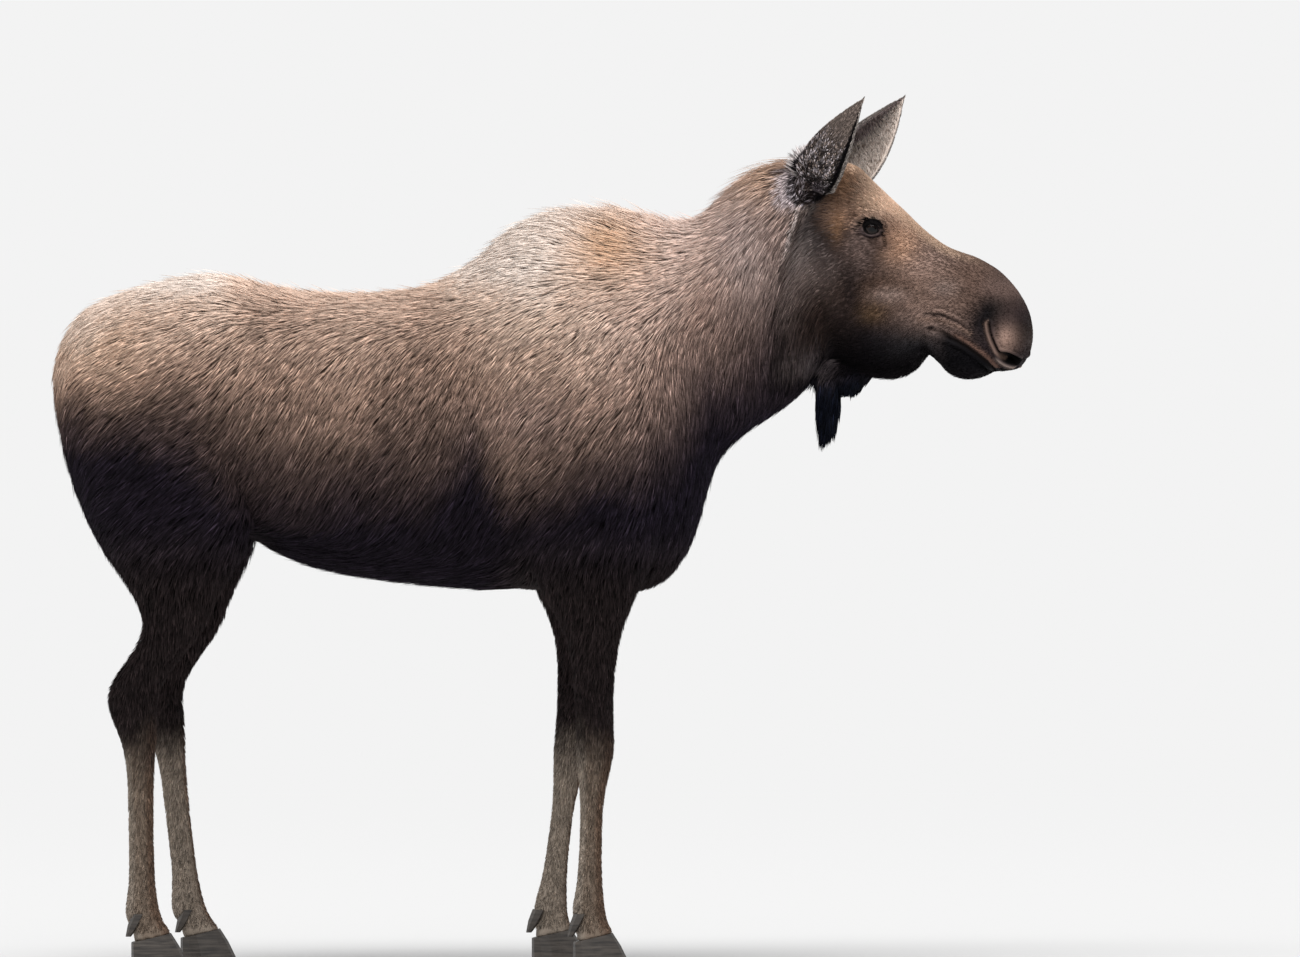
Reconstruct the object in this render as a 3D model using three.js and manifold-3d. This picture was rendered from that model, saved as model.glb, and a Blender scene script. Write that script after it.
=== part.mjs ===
// A cow moose standing with her head raised and turned a little to her right, as a still, life-size model.
// Millimetres, +Z up, +X towards the head, +Y to the animal's left. The surface is the outside of the coat.
//
// The flesh is a few lofts through hand-set stations, joined, and then parted into named nodes by thin cuts.
// A station is one cross-section between two points of the side outline:
//   [x, z of the upper or front point, x, z of the lower or rear point, half width,
//    level of the widest place from 0 at the lower point to 1, squareness of the upper and of the lower half, y]
import * as THREE from "three";
import { mergeVertices } from "three/addons/utils/BufferGeometryUtils.js";
import Module from "manifold-3d";

const wasm = await Module();
wasm.setup();

// ---------- driving dimensions ----------
const GAP = 0.4; // between the faces of two nodes that meet
const FAR = 6000; // longer than the whole animal, for the tools that cut it

const NECK_BEND = { start: 250, length: 350, angle: THREE.MathUtils.degToRad(17) };

const EYE = { x: 822, y: 95, z: 1761, radius: 21, lid: 26, width: 44, height: 31, tilt: -0.2 };
const NOSTRIL_FLOOR = 46; // how far from the middle of the muzzle the nostrils end
const EAR = {
  root: new THREE.Vector3(664, 78, 1866),
  tip: new THREE.Vector3(824, 170, 2076),
  opening: new THREE.Vector3(0.5, -0.85, -0.15),
  halfWidth: 70,
  widestAt: 0.26,
  roundness: 0.6,
  bow: 18,
  sweep: 14, // how far its middle leans towards the front rim
  wall: 8,
  seat: 0.14,
};
const HOOF = { length: 138, width: 52, toeHeight: 104, heelHeight: 78, cleft: 2, splay: 0.035, heelBehind: 6 };
const DEWCLAW = { length: 54, radius: 17, apart: 23, behind: -6, height: 122 };

// Places along the trunk are shares of its length; rows are angles from the crest.
const MANE = {
  from: 0.93,
  to: 0.58,
  count: 11,
  rows: [0, 0.3, -0.3],
  reach: 0.075,
  width: 46,
  thickness: 15,
};
const FLAP_FRINGE = { count: 5, starts: [0.42], reach: 0.5, width: 30, thickness: 10 };
const TUFT_FRINGE = { count: 5, starts: [0.34, 0.6], reach: 0.4, width: 28, thickness: 10 };

const STRIDE = { foreleg: -105, hindleg: 120 }; // how far the left hooves stand ahead of the right ones

// Where the nodes are parted: a point of each cutting plane and its tilt about Y.
const CUTS = {
  loin: { x: -640, z: 1300 },
  shoulder: { x: -92, z: 1300 },
  neck: { x: 308, z: 1386, tilt: -0.08 },
  head: { x: 622, z: 1682, tilt: -0.2 },
  foreleg: { hip: { x: 100, z: 866 }, knee: { x: 100, z: 452 }, finish: "dark" },
  hindleg: { hip: { x: -880, z: 1000 }, knee: { x: -960, z: 540 }, finish: "dark" },
};

// The mouth line from the front, and on under the cheek to the throat: x, z and how far it gapes.
const MOUTH = [
  [1240, 1366, 5],
  [1112, 1406, 5],
  [1102, 1431, 4],
  [1060, 1453, 4],
  [1010, 1483, 3],
  [968, 1516, 1.5],
  [940, 1522, GAP],
  [890, 1506, GAP],
  [800, 1484, GAP],
  [700, 1466, GAP],
  [560, 1450, GAP],
];

// ---------- stations ----------
const TRUNK = [
  [-1149, 1452, -1151, 1335, 34, 0.5, 2, 2],
  [-1137, 1496, -1140, 1262, 100, 0.52, 2, 2],
  [-1096, 1558, -1096, 1180, 168, 0.55, 2.1, 2],
  [-1030, 1595, -1020, 1115, 216, 0.56, 2.1, 2],
  [-930, 1627, -930, 1078, 248, 0.55, 2.0, 2],
  [-785, 1649, -800, 1060, 266, 0.5, 1.9, 2.1],
  [-660, 1624, -690, 1012, 282, 0.45, 1.95, 2.2],
  [-540, 1608, -570, 955, 297, 0.43, 2.0, 2.2],
  [-400, 1607, -420, 922, 307, 0.43, 2.0, 2.2],
  [-262, 1627, -270, 905, 308, 0.43, 1.9, 2.2],
  [-150, 1694, -140, 894, 302, 0.42, 1.75, 2.2],
  [-40, 1776, -10, 886, 288, 0.41, 1.6, 2.2],
  [70, 1806, 105, 880, 271, 0.4, 1.55, 2.2],
  [165, 1806, 200, 878, 252, 0.4, 1.6, 2.1],
  [235, 1792, 280, 903, 232, 0.42, 1.7, 2],
  [290, 1778, 337, 985, 208, 0.44, 1.8, 2],
  [335, 1774, 368, 1092, 184, 0.46, 1.85, 2],
  [385, 1792, 402, 1190, 166, 0.47, 1.9, 2],
  [447, 1849, 467, 1261, 152, 0.48, 1.9, 2],
  [515, 1902, 553, 1312, 141, 0.49, 1.95, 2],
  [585, 1922, 632, 1376, 131, 0.5, 2, 2],
  [650, 1915, 690, 1445, 104, 0.5, 2, 2],
  [690, 1880, 715, 1500, 60, 0.5, 2, 2],
];

const HEAD = [
  [600, 1850, 560, 1560, 60, 0.5, 2, 2],
  [668, 1912, 606, 1500, 96, 0.52, 2, 2],
  [742, 1915, 655, 1466, 105, 0.54, 2.1, 1.9],
  [786, 1880, 695, 1447, 109, 0.57, 2.2, 1.9],
  [824, 1843, 740, 1424, 112, 0.6, 2.3, 1.8],
  [868, 1800, 792, 1403, 105, 0.6, 2.4, 1.8],
  [923, 1756, 848, 1398, 91, 0.58, 2.5, 1.9],
  [973, 1723, 898, 1424, 78, 0.55, 2.5, 2],
  [1010, 1708, 930, 1466, 70, 0.5, 2.5, 2.2],
  [1043, 1697, 962, 1497, 67, 0.46, 2.5, 2.4],
  [1078, 1680, 1002, 1470, 71, 0.42, 2.4, 2.8],
  [1110, 1659, 1042, 1449, 76, 0.4, 2.4, 2.8],
  [1147, 1619, 1084, 1428, 77, 0.4, 2.4, 2.6],
  [1171, 1575, 1119, 1425, 73, 0.42, 2.4, 2.4],
  [1181, 1532, 1143, 1427, 58, 0.45, 2.3, 2.3],
  [1182, 1502, 1163, 1440, 35, 0.5, 2, 2],
  [1179, 1482, 1173, 1458, 12, 0.5, 2, 2],
];

const CHIN = [
  [860, 1520, 860, 1432, 46, 0.6, 3, 2],
  [905, 1530, 905, 1452, 55, 0.64, 3, 2],
  [935, 1534, 932, 1462, 59, 0.68, 3, 2],
  [970, 1532, 958, 1440, 60, 0.68, 3, 2],
  [1012, 1510, 990, 1411, 60, 0.68, 3, 2],
  [1052, 1484, 1032, 1401, 57, 0.66, 3, 2],
  [1082, 1460, 1071, 1409, 47, 0.62, 3, 2],
  [1101, 1441, 1093, 1425, 22, 0.5, 2, 2],
];

// Legs: front point, rear point. The last station is the coronet, where the hoof begins.
const FORELEG = [
  [250, 1330, 40, 1370, 70, 0.5, 2, 2, 128],
  [300, 1170, -10, 1220, 96, 0.5, 2, 2, 156],
  [292, 1070, -42, 1080, 98, 0.5, 2, 2, 164],
  [262, 985, -42, 985, 86, 0.5, 2, 2, 164],
  [228, 905, -8, 890, 72, 0.5, 2, 2, 158],
  [200, 840, 28, 830, 62, 0.5, 2, 2, 154],
  [178, 765, 54, 758, 53, 0.5, 2, 2, 149],
  [166, 660, 68, 655, 45, 0.5, 2, 2, 143],
  [166, 580, 72, 572, 44, 0.5, 2.2, 2.2, 137],
  [168, 520, 72, 512, 46, 0.5, 2.3, 2.3, 134],
  [154, 458, 78, 455, 39, 0.5, 2.2, 2.2, 132],
  [141, 390, 82, 388, 30, 0.5, 2, 2, 130],
  [137, 270, 79, 268, 28, 0.5, 2, 2, 128],
  [139, 195, 72, 190, 32, 0.5, 2, 2, 127],
  [144, 152, 62, 142, 38, 0.5, 2.1, 2.1, 126],
  [150, 114, 72, 100, 36, 0.5, 2.1, 2.1, 126],
  [166, 84, 72, 62, 44, 0.5, 2.3, 2.3, 126],
];

const HINDLEG = [
  [-730, 1440, -1090, 1490, 88, 0.5, 2, 2, 118],
  [-710, 1310, -1146, 1385, 122, 0.5, 2, 2, 134],
  [-694, 1200, -1152, 1285, 130, 0.5, 2, 2, 148],
  [-688, 1110, -1132, 1190, 122, 0.5, 2, 2, 158],
  [-700, 1030, -1090, 1080, 104, 0.5, 2, 2, 164],
  [-732, 955, -1034, 975, 84, 0.5, 2, 2, 165],
  [-775, 880, -988, 900, 66, 0.5, 2, 2, 160],
  [-808, 805, -958, 830, 52, 0.5, 2, 2, 153],
  [-862, 738, -978, 768, 43, 0.5, 2, 2, 147],
  [-904, 680, -1022, 702, 40, 0.5, 2.2, 2, 143],
  [-918, 640, -1046, 652, 41, 0.5, 2.3, 2, 141],
  [-918, 598, -1034, 598, 41, 0.5, 2.2, 2, 140],
  [-920, 545, -1010, 542, 36, 0.5, 2, 2, 139],
  [-926, 470, -996, 468, 30, 0.5, 2, 2, 138],
  [-928, 350, -992, 348, 28, 0.5, 2, 2, 137],
  [-925, 225, -990, 220, 29, 0.5, 2, 2, 136],
  [-921, 180, -996, 170, 33, 0.5, 2, 2, 136],
  [-916, 146, -1000, 132, 38, 0.5, 2.1, 2.1, 136],
  [-904, 112, -984, 94, 35, 0.5, 2.1, 2.1, 136],
  [-884, 84, -978, 62, 43, 0.5, 2.3, 2.3, 136],
];

const TAIL = [
  [-1091, 1500, -1076, 1440, 30, 0.5, 2, 2],
  [-1136, 1490, -1098, 1420, 34, 0.5, 2, 2],
  [-1160, 1440, -1121, 1400, 30, 0.5, 2, 2],
  [-1165, 1395, -1132, 1370, 24, 0.5, 2, 2],
  [-1162, 1358, -1138, 1350, 12, 0.5, 2, 2],
];

// The bell under the throat: a short flap of skin and the long tuft behind it.
const BELL_FLAP = [
  [802, 1440, 690, 1440, 26, 0.5, 2, 2],
  [794, 1405, 688, 1405, 24, 0.5, 2, 2],
  [784, 1382, 692, 1376, 20, 0.5, 2, 2],
  [768, 1364, 702, 1357, 14, 0.5, 2, 2],
  [750, 1355, 718, 1350, 6, 0.5, 2, 2],
];

const BELL_TUFT = [
  [720, 1450, 644, 1450, 26, 0.5, 2, 2],
  [719, 1400, 646, 1396, 25, 0.5, 2, 2],
  [716, 1350, 652, 1346, 21, 0.5, 2, 2],
  [708, 1300, 658, 1296, 16, 0.5, 2, 2],
  [699, 1262, 667, 1260, 11, 0.5, 2, 2],
  [688, 1234, 676, 1234, 4, 0.5, 2, 2],
];

// ---------- muscles, bones and hollows ----------
// Each lifts the skin round its place, or sinks it: x, y and z of its middle, its reach along each, and how far.
const TRUNK_FORMS = [
  [50, 230, 1560, 150, 160, 260, 20], // shoulder blade
  [140, 240, 1210, 170, 170, 190, 22], // upper arm
  [-130, 280, 1240, 75, 170, 240, -16], // hollow behind the shoulder
  [-800, 190, 1570, 130, 140, 100, 18], // point of the hip
  [-935, 240, 1340, 170, 160, 220, 26], // haunch
  [-610, 260, 1450, 120, 150, 130, -20], // hollow of the flank
  [300, 150, 1330, 60, 120, 120, 12], // point of the shoulder
  [470, 130, 1480, 90, 90, 60, -10], // groove of the throat
];
const HEAD_FORMS = [
  [826, 100, 1772, 62, 60, 48, 24], // rim of the orbit
  [765, 105, 1560, 110, 70, 105, 12], // cheek
  [742, 80, 1850, 44, 50, 40, -10], // hollow of the temple
  [905, 95, 1665, 95, 50, 34, 7], // ridge below the eye
  [960, 60, 1560, 60, 50, 45, -7], // hollow above the corner of the mouth
  [1138, 74, 1486, 52, 50, 60, 15], // wing of the nostril
  [1075, 60, 1600, 50, 50, 50, -5], // hollow behind the nostril
];

// ---------- from geometry to solids ----------
function solid(geometry) {
  const bare = geometry.index ? geometry.toNonIndexed() : geometry.clone();
  bare.deleteAttribute("normal");
  bare.deleteAttribute("uv");
  const merged = mergeVertices(bare, 1e-3);
  const triVerts = new Uint32Array(merged.index.array);
  const mesh = new wasm.Mesh({ numProp: 3, vertProperties: merged.attributes.position.array, triVerts });
  return new wasm.Manifold(mesh);
}

const joined = (solids) => solids.reduce((all, next) => all.add(next));

// The largest closed surface of a solid, which drops loose scraps.
function largest(shape) {
  const pieces = shape.decompose();
  return pieces.reduce((best, piece) => (piece.volume() > best.volume() ? piece : best));
}

// The same solid a little way off.
function shifted(shape, offset) {
  const mesh = shape.getMesh();
  const steps = offset.toArray();
  const vertProperties = mesh.vertProperties.map((value, i) => value + steps[i % mesh.numProp]);
  return new wasm.Manifold(new wasm.Mesh({ numProp: mesh.numProp, vertProperties, triVerts: mesh.triVerts }));
}

// Everything ahead of a plane, as a block.
function halfSpace(point, normal) {
  const block = new THREE.BoxGeometry(FAR, FAR, FAR).translate(0, 0, FAR / 2);
  const up = new THREE.Vector3(0, 0, 1);
  block.applyQuaternion(new THREE.Quaternion().setFromUnitVectors(up, normal.clone().normalize()));
  return solid(block.translate(point.x, point.y, point.z));
}

// Parts a solid with a thin cut: what lies ahead of the plane, and what lies behind it.
function parted(shape, point, normal) {
  const half = normal.clone().setLength(GAP / 2);
  const ahead = shape.intersect(halfSpace(point.clone().add(half), normal));
  const behind = shape.subtract(halfSpace(point.clone().sub(half), normal));
  return { ahead, behind };
}

// ---------- lofts ----------
function signedVolume(points, faces) {
  return faces.reduce((sum, [a, b, c]) => sum + points[a].dot(points[b].clone().cross(points[c])), 0);
}

// Joins rings of equally many points into one closed skin, with a flat fan at both ends.
function loft(rings) {
  const count = rings[0].length;
  const middle = (ring) => ring.reduce((sum, p) => sum.add(p), new THREE.Vector3()).divideScalar(count);
  const points = [...rings.flat(), middle(rings[0]), middle(rings.at(-1))];
  const faces = [];
  for (let k = 0; k < count; k++) {
    const next = (k + 1) % count;
    for (let r = 0; r + 1 < rings.length; r++) {
      const [a, b, c, d] = [r * count + k, r * count + next, (r + 1) * count + next, (r + 1) * count + k];
      faces.push([a, b, c], [a, c, d]);
    }
    const last = (rings.length - 1) * count;
    faces.push([points.length - 2, next, k], [points.length - 1, last + k, last + next]);
  }
  if (signedVolume(points, faces) < 0) faces.forEach((face) => face.reverse());
  return new THREE.BufferGeometry().setFromPoints(faces.flat().map((i) => points[i]));
}

// Smooth curves through the stations of one loft.
function outline(stations) {
  const curve = (pick) => new THREE.CatmullRomCurve3(stations.map((s) => new THREE.Vector3(...pick(s))));
  const curves = [
    curve(([x, z, , , , , , , y = 0]) => [x, y, z]),
    curve(([, , x, z, , , , , y = 0]) => [x, y, z]),
    curve(([, , , , width, widest]) => [width, widest, 0]),
    curve(([, , , , , , upper, lower]) => [upper, lower, 0]),
  ];
  curves.forEach((c) => (c.curveType = "catmullrom"));
  return curves;
}

// The point of a loft's surface at share t of its length and at an angle round it, a quarter turn being the top.
function skinPoint([upper, lower, form, shape], t, angle) {
  const [top, bottom, { x: width, y: widest }, { x: upperN, y: lowerN }] = [
    upper.getPoint(t),
    lower.getPoint(t),
    form.getPoint(t),
    shape.getPoint(t),
  ];
  const [cosine, sine] = [Math.cos(angle), Math.sin(angle)];
  const power = 2 / (sine >= 0 ? upperN : lowerN);
  const rise = Math.sign(sine) * Math.abs(sine) ** power * (sine >= 0 ? 1 - widest : widest);
  const point = bottom.clone().lerp(top, widest + rise);
  return point.add(new THREE.Vector3(0, Math.sign(cosine) * Math.abs(cosine) ** power * width, 0));
}

// How far the forms lift the skin at a point; each form lies on both sides of the animal.
function lift({ x, y, z }, forms) {
  return forms.reduce((sum, [fx, fy, fz, rx, ry, rz, height]) => {
    const away = ((x - fx) / rx) ** 2 + ((Math.abs(y) - fy) / ry) ** 2 + ((z - fz) / rz) ** 2;
    return sum + height * Math.exp(-away);
  }, 0);
}

// The skin of a loft, as a function of its length, the angle round it and how far outside it the point lies.
function skinOf(stations, forms = []) {
  const curves = outline(stations);
  return (t, angle, height = 0) => {
    const axis = curves[0].getPoint(t).lerp(curves[1].getPoint(t), 0.5);
    const point = skinPoint(curves, t, angle);
    const outwards = point.clone().sub(axis).multiply(new THREE.Vector3(1, 2, 1)).normalize();
    return point.addScaledVector(outwards, lift(point, forms) + height);
  };
}

function loftOf(stations, ringCount, pointCount, forms = []) {
  const skin = skinOf(stations, forms);
  const angles = Array.from({ length: pointCount }, (_, k) => ((k + 0.5) / pointCount) * 2 * Math.PI);
  const ring = (_, r) => angles.map((angle) => skin(r / (ringCount - 1), angle));
  return solid(loft(Array.from({ length: ringCount }, ring)));
}

function ellipsoid([x, y, z], [rx, ry, rz], turn = 0, detail = 12) {
  const ball = new THREE.SphereGeometry(1, detail, Math.round(detail * 0.7)).scale(rx, ry, rz);
  return solid(ball.rotateY(turn).translate(x, y, z));
}

// A block with a given outline in the XZ plane, from one y to another.
function slab(shape, fromY, toY) {
  const block = new THREE.ExtrudeGeometry(shape, { depth: toY - fromY, bevelEnabled: false, curveSegments: 8 });
  return solid(block.rotateX(Math.PI / 2).translate(0, toY, 0));
}

// ---------- locks ----------
// A repeatable number from 0 to 1.
function chance(seed) {
  const wave = Math.sin(seed * 127.1 + 11.7) * 43758.5453;
  return wave - Math.floor(wave);
}

// A flat, tapered lock that starts under a skin, bends along it and ends a little way out of it.
function lock(skin, from, to, { width, thickness, heights }) {
  const rings = heights.map((height, i) => {
    const share = i / (heights.length - 1);
    const t = THREE.MathUtils.lerp(from.t, to.t, share);
    const angle = THREE.MathUtils.lerp(from.angle, to.angle, share);
    const centre = skin(t, angle, height);
    const outwards = skin(t, angle, height + 1).sub(centre);
    const sideways = skin(t, angle + 0.02, height).sub(skin(t, angle - 0.02, height)).normalize();
    const girth = share < 1 ? 0.75 + share * (1.5 - 2 * share) : 0.1;
    const [half, thick] = [(width / 2) * girth, (thickness / 2) * girth];
    return [
      centre.clone().addScaledVector(sideways, half),
      centre.clone().addScaledVector(outwards, thick),
      centre.clone().addScaledVector(sideways, -half),
      centre.clone().addScaledVector(outwards, -thick),
    ];
  });
  return solid(loft(rings));
}

// Rows of locks from behind the ears to the withers, each lying back over the next.
function mane() {
  const { from, to, count, rows, reach, width, thickness } = MANE;
  const skin = skinOf(TRUNK, TRUNK_FORMS);
  return rows.flatMap((row, r) =>
    Array.from({ length: count }, (_, i) => {
      const seed = r * 100 + i;
      const t = THREE.MathUtils.lerp(from, to, (i + (r % 2) / 2) / count);
      const angle = Math.PI / 2 + row + (chance(seed) - 0.5) * 0.06;
      const fall = row * 0.5 + (chance(seed + 0.3) - 0.5) * 0.14;
      const end = { t: t - reach * (0.85 + 0.3 * chance(seed + 0.6)), angle: angle + fall };
      const tip = 8 + 7 * chance(seed + 0.9) + Math.max(0, t - 0.8) * 70;
      return lock(skin, { t, angle }, end, { width, thickness, heights: [-10, 2, 6, tip] });
    }),
  );
}

// Locks that hang down round one core of the bell, their tips loose of it.
function fringe(stations, { count, starts, reach, width, thickness }) {
  const skin = skinOf(stations);
  return starts.flatMap((start, r) =>
    Array.from({ length: count }, (_, i) => {
      const seed = r * 50 + i + stations.length * 7;
      const angle = ((i + (r % 2) / 2 + 0.3 * chance(seed)) / count) * 2 * Math.PI;
      const end = { t: Math.min(start + reach * (0.8 + 0.4 * chance(seed + 0.5)), 1), angle: angle + 0.2 };
      const tip = 3 + 4 * chance(seed + 0.7);
      return lock(skin, { t: start, angle }, end, { width, thickness, heights: [-6, 2, 3, tip] });
    }),
  );
}

// ---------- legs ----------
// A leg of one side: its stations mirrored to that side and stepped forward in proportion to how low they are.
function legStations(stations, side, stride) {
  const topZ = stations[2][1];
  const step = (x, z) => x + stride * THREE.MathUtils.clamp((topZ - z) / topZ, 0, 1);
  return stations.map(([frontX, frontZ, rearX, rearZ, ...form]) => {
    const y = form.pop() * side;
    return [step(frontX, frontZ), frontZ, step(rearX, rearZ), rearZ, ...form, y];
  });
}

// One toe's hoof: rings of its sole outline, drawn in as they rise and cut off along the slope of the coronet.
// Its inner wall is flatter than its outer one and keeps close to the cleft.
function hoofToe(heelX, y, side) {
  const { length, width, toeHeight, heelHeight, cleft, splay } = HOOF;
  const seam = 0.35; // share of the toe's width that lies inside its tip
  const around = 14;
  const rings = [0, 0.12, 0.55, 1].map((level) =>
    Array.from({ length: around }, (_, k) => {
      const angle = (k / around) * 2 * Math.PI;
      const along = (1 + Math.cos(angle)) / 2;
      const broad = width * (1 - 0.16 * level) * (1 - 0.5 * along ** 2);
      const [bow, power] = Math.sin(angle) >= 0 ? [1 - seam, 0.75] : [-seam, 0.5];
      const bulge = seam + bow * Math.abs(Math.sin(angle)) ** power;
      const draw = 1 - 0.36 * level ** 1.2;
      const x = heelX + along * length * draw + (level < 0.1 ? 0 : 1);
      const height = level * THREE.MathUtils.lerp(heelHeight, toeHeight, along * draw);
      return new THREE.Vector3(x, y + side * (cleft + splay * along * length + broad * bulge), height);
    }),
  );
  return solid(loft(rings));
}

function dewclaw(x, y, z, side) {
  const { length, radius } = DEWCLAW;
  const rings = [0, 0.5, 1].map((level) =>
    Array.from({ length: 6 }, (_, k) => {
      const angle = (k / 6) * 2 * Math.PI;
      const r = radius * (1 - 0.62 * level ** 2);
      const centre = new THREE.Vector3(x + 8 - 26 * level, y + side * 3 * level, z + 10 - length * level);
      return centre.add(new THREE.Vector3(Math.cos(angle) * r, Math.sin(angle) * r, 0));
    }),
  );
  return solid(loft(rings));
}

// ---------- head ----------
function earSolid(side) {
  const axis = EAR.tip.clone().sub(EAR.root);
  const along = axis.clone().normalize();
  const open = EAR.opening.clone().projectOnPlane(along).normalize();
  const across = along.clone().cross(open);
  const mirror = new THREE.Vector3(1, side, 1);
  const around = 14;
  const rings = (from, to, count, widthOf, depthOf, shiftOf) =>
    Array.from({ length: count }, (_, r) => {
      const t = THREE.MathUtils.lerp(from, to, r / (count - 1));
      const curve = Math.sin(Math.max(t, 0) * Math.PI);
      const centre = EAR.root.clone().addScaledVector(axis, t).addScaledVector(across, EAR.sweep * curve);
      centre.addScaledVector(open, shiftOf(t) - EAR.bow * curve);
      return Array.from({ length: around }, (_, k) => {
        const angle = ((k + 0.5) / around) * 2 * Math.PI;
        const point = centre.clone().addScaledVector(across, Math.cos(angle) * widthOf(t));
        return point.addScaledVector(open, Math.sin(angle) * depthOf(t)).multiply(mirror);
      });
    });
  const swell = (t) => 0.76 + 0.24 * Math.sin((Math.min(Math.max(t, 0) / EAR.widestAt, 1) * Math.PI) / 2);
  const taper = (t) => 1 - (Math.max(0, t - EAR.widestAt) / (1 - EAR.widestAt)) ** 1.6;
  const stalk = (t) => 1 + 1.5 * Math.min(t, 0);
  const leaf = (t) => EAR.halfWidth * swell(t) * stalk(t) * Math.max(taper(t), 0.04);
  const outer = rings(-0.2, 1, 11, leaf, (t) => leaf(t) * EAR.roundness, () => 0);
  const hollow = (t) => leaf(t) - EAR.wall * (1 - 0.6 * t);
  const sink = (t) => leaf(t) * EAR.roundness - (1 - t) * 4;
  const inner = rings(0.1, 0.97, 9, hollow, (t) => leaf(t) * EAR.roundness * 1.75, sink);
  return solid(loft(outer)).subtract(solid(loft(inner)));
}

// A comma: a narrow slit at the top that opens into the round hole at the front.
function nostril(side) {
  const comma = new THREE.Shape();
  comma.moveTo(1100, 1538);
  comma.quadraticCurveTo(1106, 1498, 1130, 1467);
  comma.quadraticCurveTo(1140, 1449, 1152, 1442);
  comma.quadraticCurveTo(1168, 1438, 1165, 1452);
  comma.quadraticCurveTo(1157, 1466, 1142, 1474);
  comma.quadraticCurveTo(1122, 1494, 1106, 1540);
  return side > 0 ? slab(comma, NOSTRIL_FLOOR, 150) : slab(comma, -150, -NOSTRIL_FLOOR);
}

function eyeOpening(side) {
  const { x, y, z, width, height, tilt } = EYE;
  const almond = new THREE.Shape();
  almond.moveTo(-width / 2, 0);
  almond.quadraticCurveTo(-width / 8, height, width / 2, 0);
  almond.quadraticCurveTo(width / 8, -height, -width / 2, 0);
  const points = almond.getPoints(8).map((p) => p.rotateAround(new THREE.Vector2(), tilt));
  const placed = new THREE.Shape(points.map((p) => new THREE.Vector2(p.x + x, p.y + z)));
  return side > 0 ? slab(placed, y, y + 60) : slab(placed, -y - 60, -y);
}

const eyeball = (side, radius) => ellipsoid([EYE.x, side * EYE.y, EYE.z], [radius, radius, radius]);

// The region under the mouth line and the jaw, whose upper edge is lowered or raised by half of the mouth's gape.
function underMouth(direction) {
  const edge = MOUTH.map(([x, z, gape]) => new THREE.Vector2(x, z + (direction * gape) / 2));
  const [front, rear] = [edge[0], edge.at(-1)];
  const below = [new THREE.Vector2(rear.x, 1000), new THREE.Vector2(front.x, 1000)];
  return slab(new THREE.Shape([...edge, ...below]), -400, 400);
}

// ---------- assembly ----------
// Takes from a piece what it grows from, with the gap between them along the way it grows.
function seated(piece, base, outwards) {
  const moved = shifted(base, outwards.clone().setLength(GAP));
  return largest(piece.subtract(base).subtract(moved));
}

// The neck's bend to the animal's right: an arc from its base, and then the head, turned by the whole angle.
function turned(point) {
  const { start, length, angle } = NECK_BEND;
  const along = point.x - start;
  if (along <= 0) return point;
  const radius = length / angle;
  const heading = Math.min(along / length, 1) * angle;
  const past = Math.max(along - length, 0);
  const x = start + radius * Math.sin(heading) + past * Math.cos(heading) + point.y * Math.sin(heading);
  const y = -radius * (1 - Math.cos(heading)) - past * Math.sin(heading) + point.y * Math.cos(heading);
  return point.set(x, y, point.z);
}

const FINISHES = {
  coat: new THREE.MeshStandardMaterial({ color: 0x8c755b, roughness: 0.95, metalness: 0 }),
  face: new THREE.MeshStandardMaterial({ color: 0x6e5440, roughness: 0.9, metalness: 0 }),
  dark: new THREE.MeshStandardMaterial({ color: 0x241e1d, roughness: 0.95, metalness: 0 }),
  ear: new THREE.MeshStandardMaterial({ color: 0x7d7268, roughness: 0.95, metalness: 0 }),
  shank: new THREE.MeshStandardMaterial({ color: 0x6b6058, roughness: 0.95, metalness: 0 }),
  hoof: new THREE.MeshStandardMaterial({ color: 0x1d1a18, roughness: 0.5, metalness: 0 }),
  eye: new THREE.MeshStandardMaterial({ color: 0x140d09, roughness: 0.08, metalness: 0 }),
};

const model = new THREE.Group();

function addNode(name, shape, finish) {
  const { numProp, vertProperties, triVerts } = largest(shape).getMesh();
  const points = Array.from({ length: vertProperties.length / numProp }, (_, i) =>
    turned(new THREE.Vector3().fromArray(vertProperties, i * numProp)),
  );
  const geometry = new THREE.BufferGeometry().setFromPoints(points);
  geometry.setIndex(Array.from(triVerts));
  geometry.computeVertexNormals();
  const mesh = new THREE.Mesh(geometry, FINISHES[finish]);
  mesh.name = name;
  model.add(mesh);
}

const SIDES = [
  { side: 1, name: "left" },
  { side: -1, name: "right" },
];
const both = (make) => SIDES.map(({ side }) => make(side));
const forwards = new THREE.Vector3(1, 0, 0);
const upwards = new THREE.Vector3(0, 0, 1);
const across = new THREE.Vector3(0, 1, 0);
function plane({ x, z, tilt = 0 }, normal) {
  return [new THREE.Vector3(x, 0, z), normal.clone().applyAxisAngle(across, tilt)];
}

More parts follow.
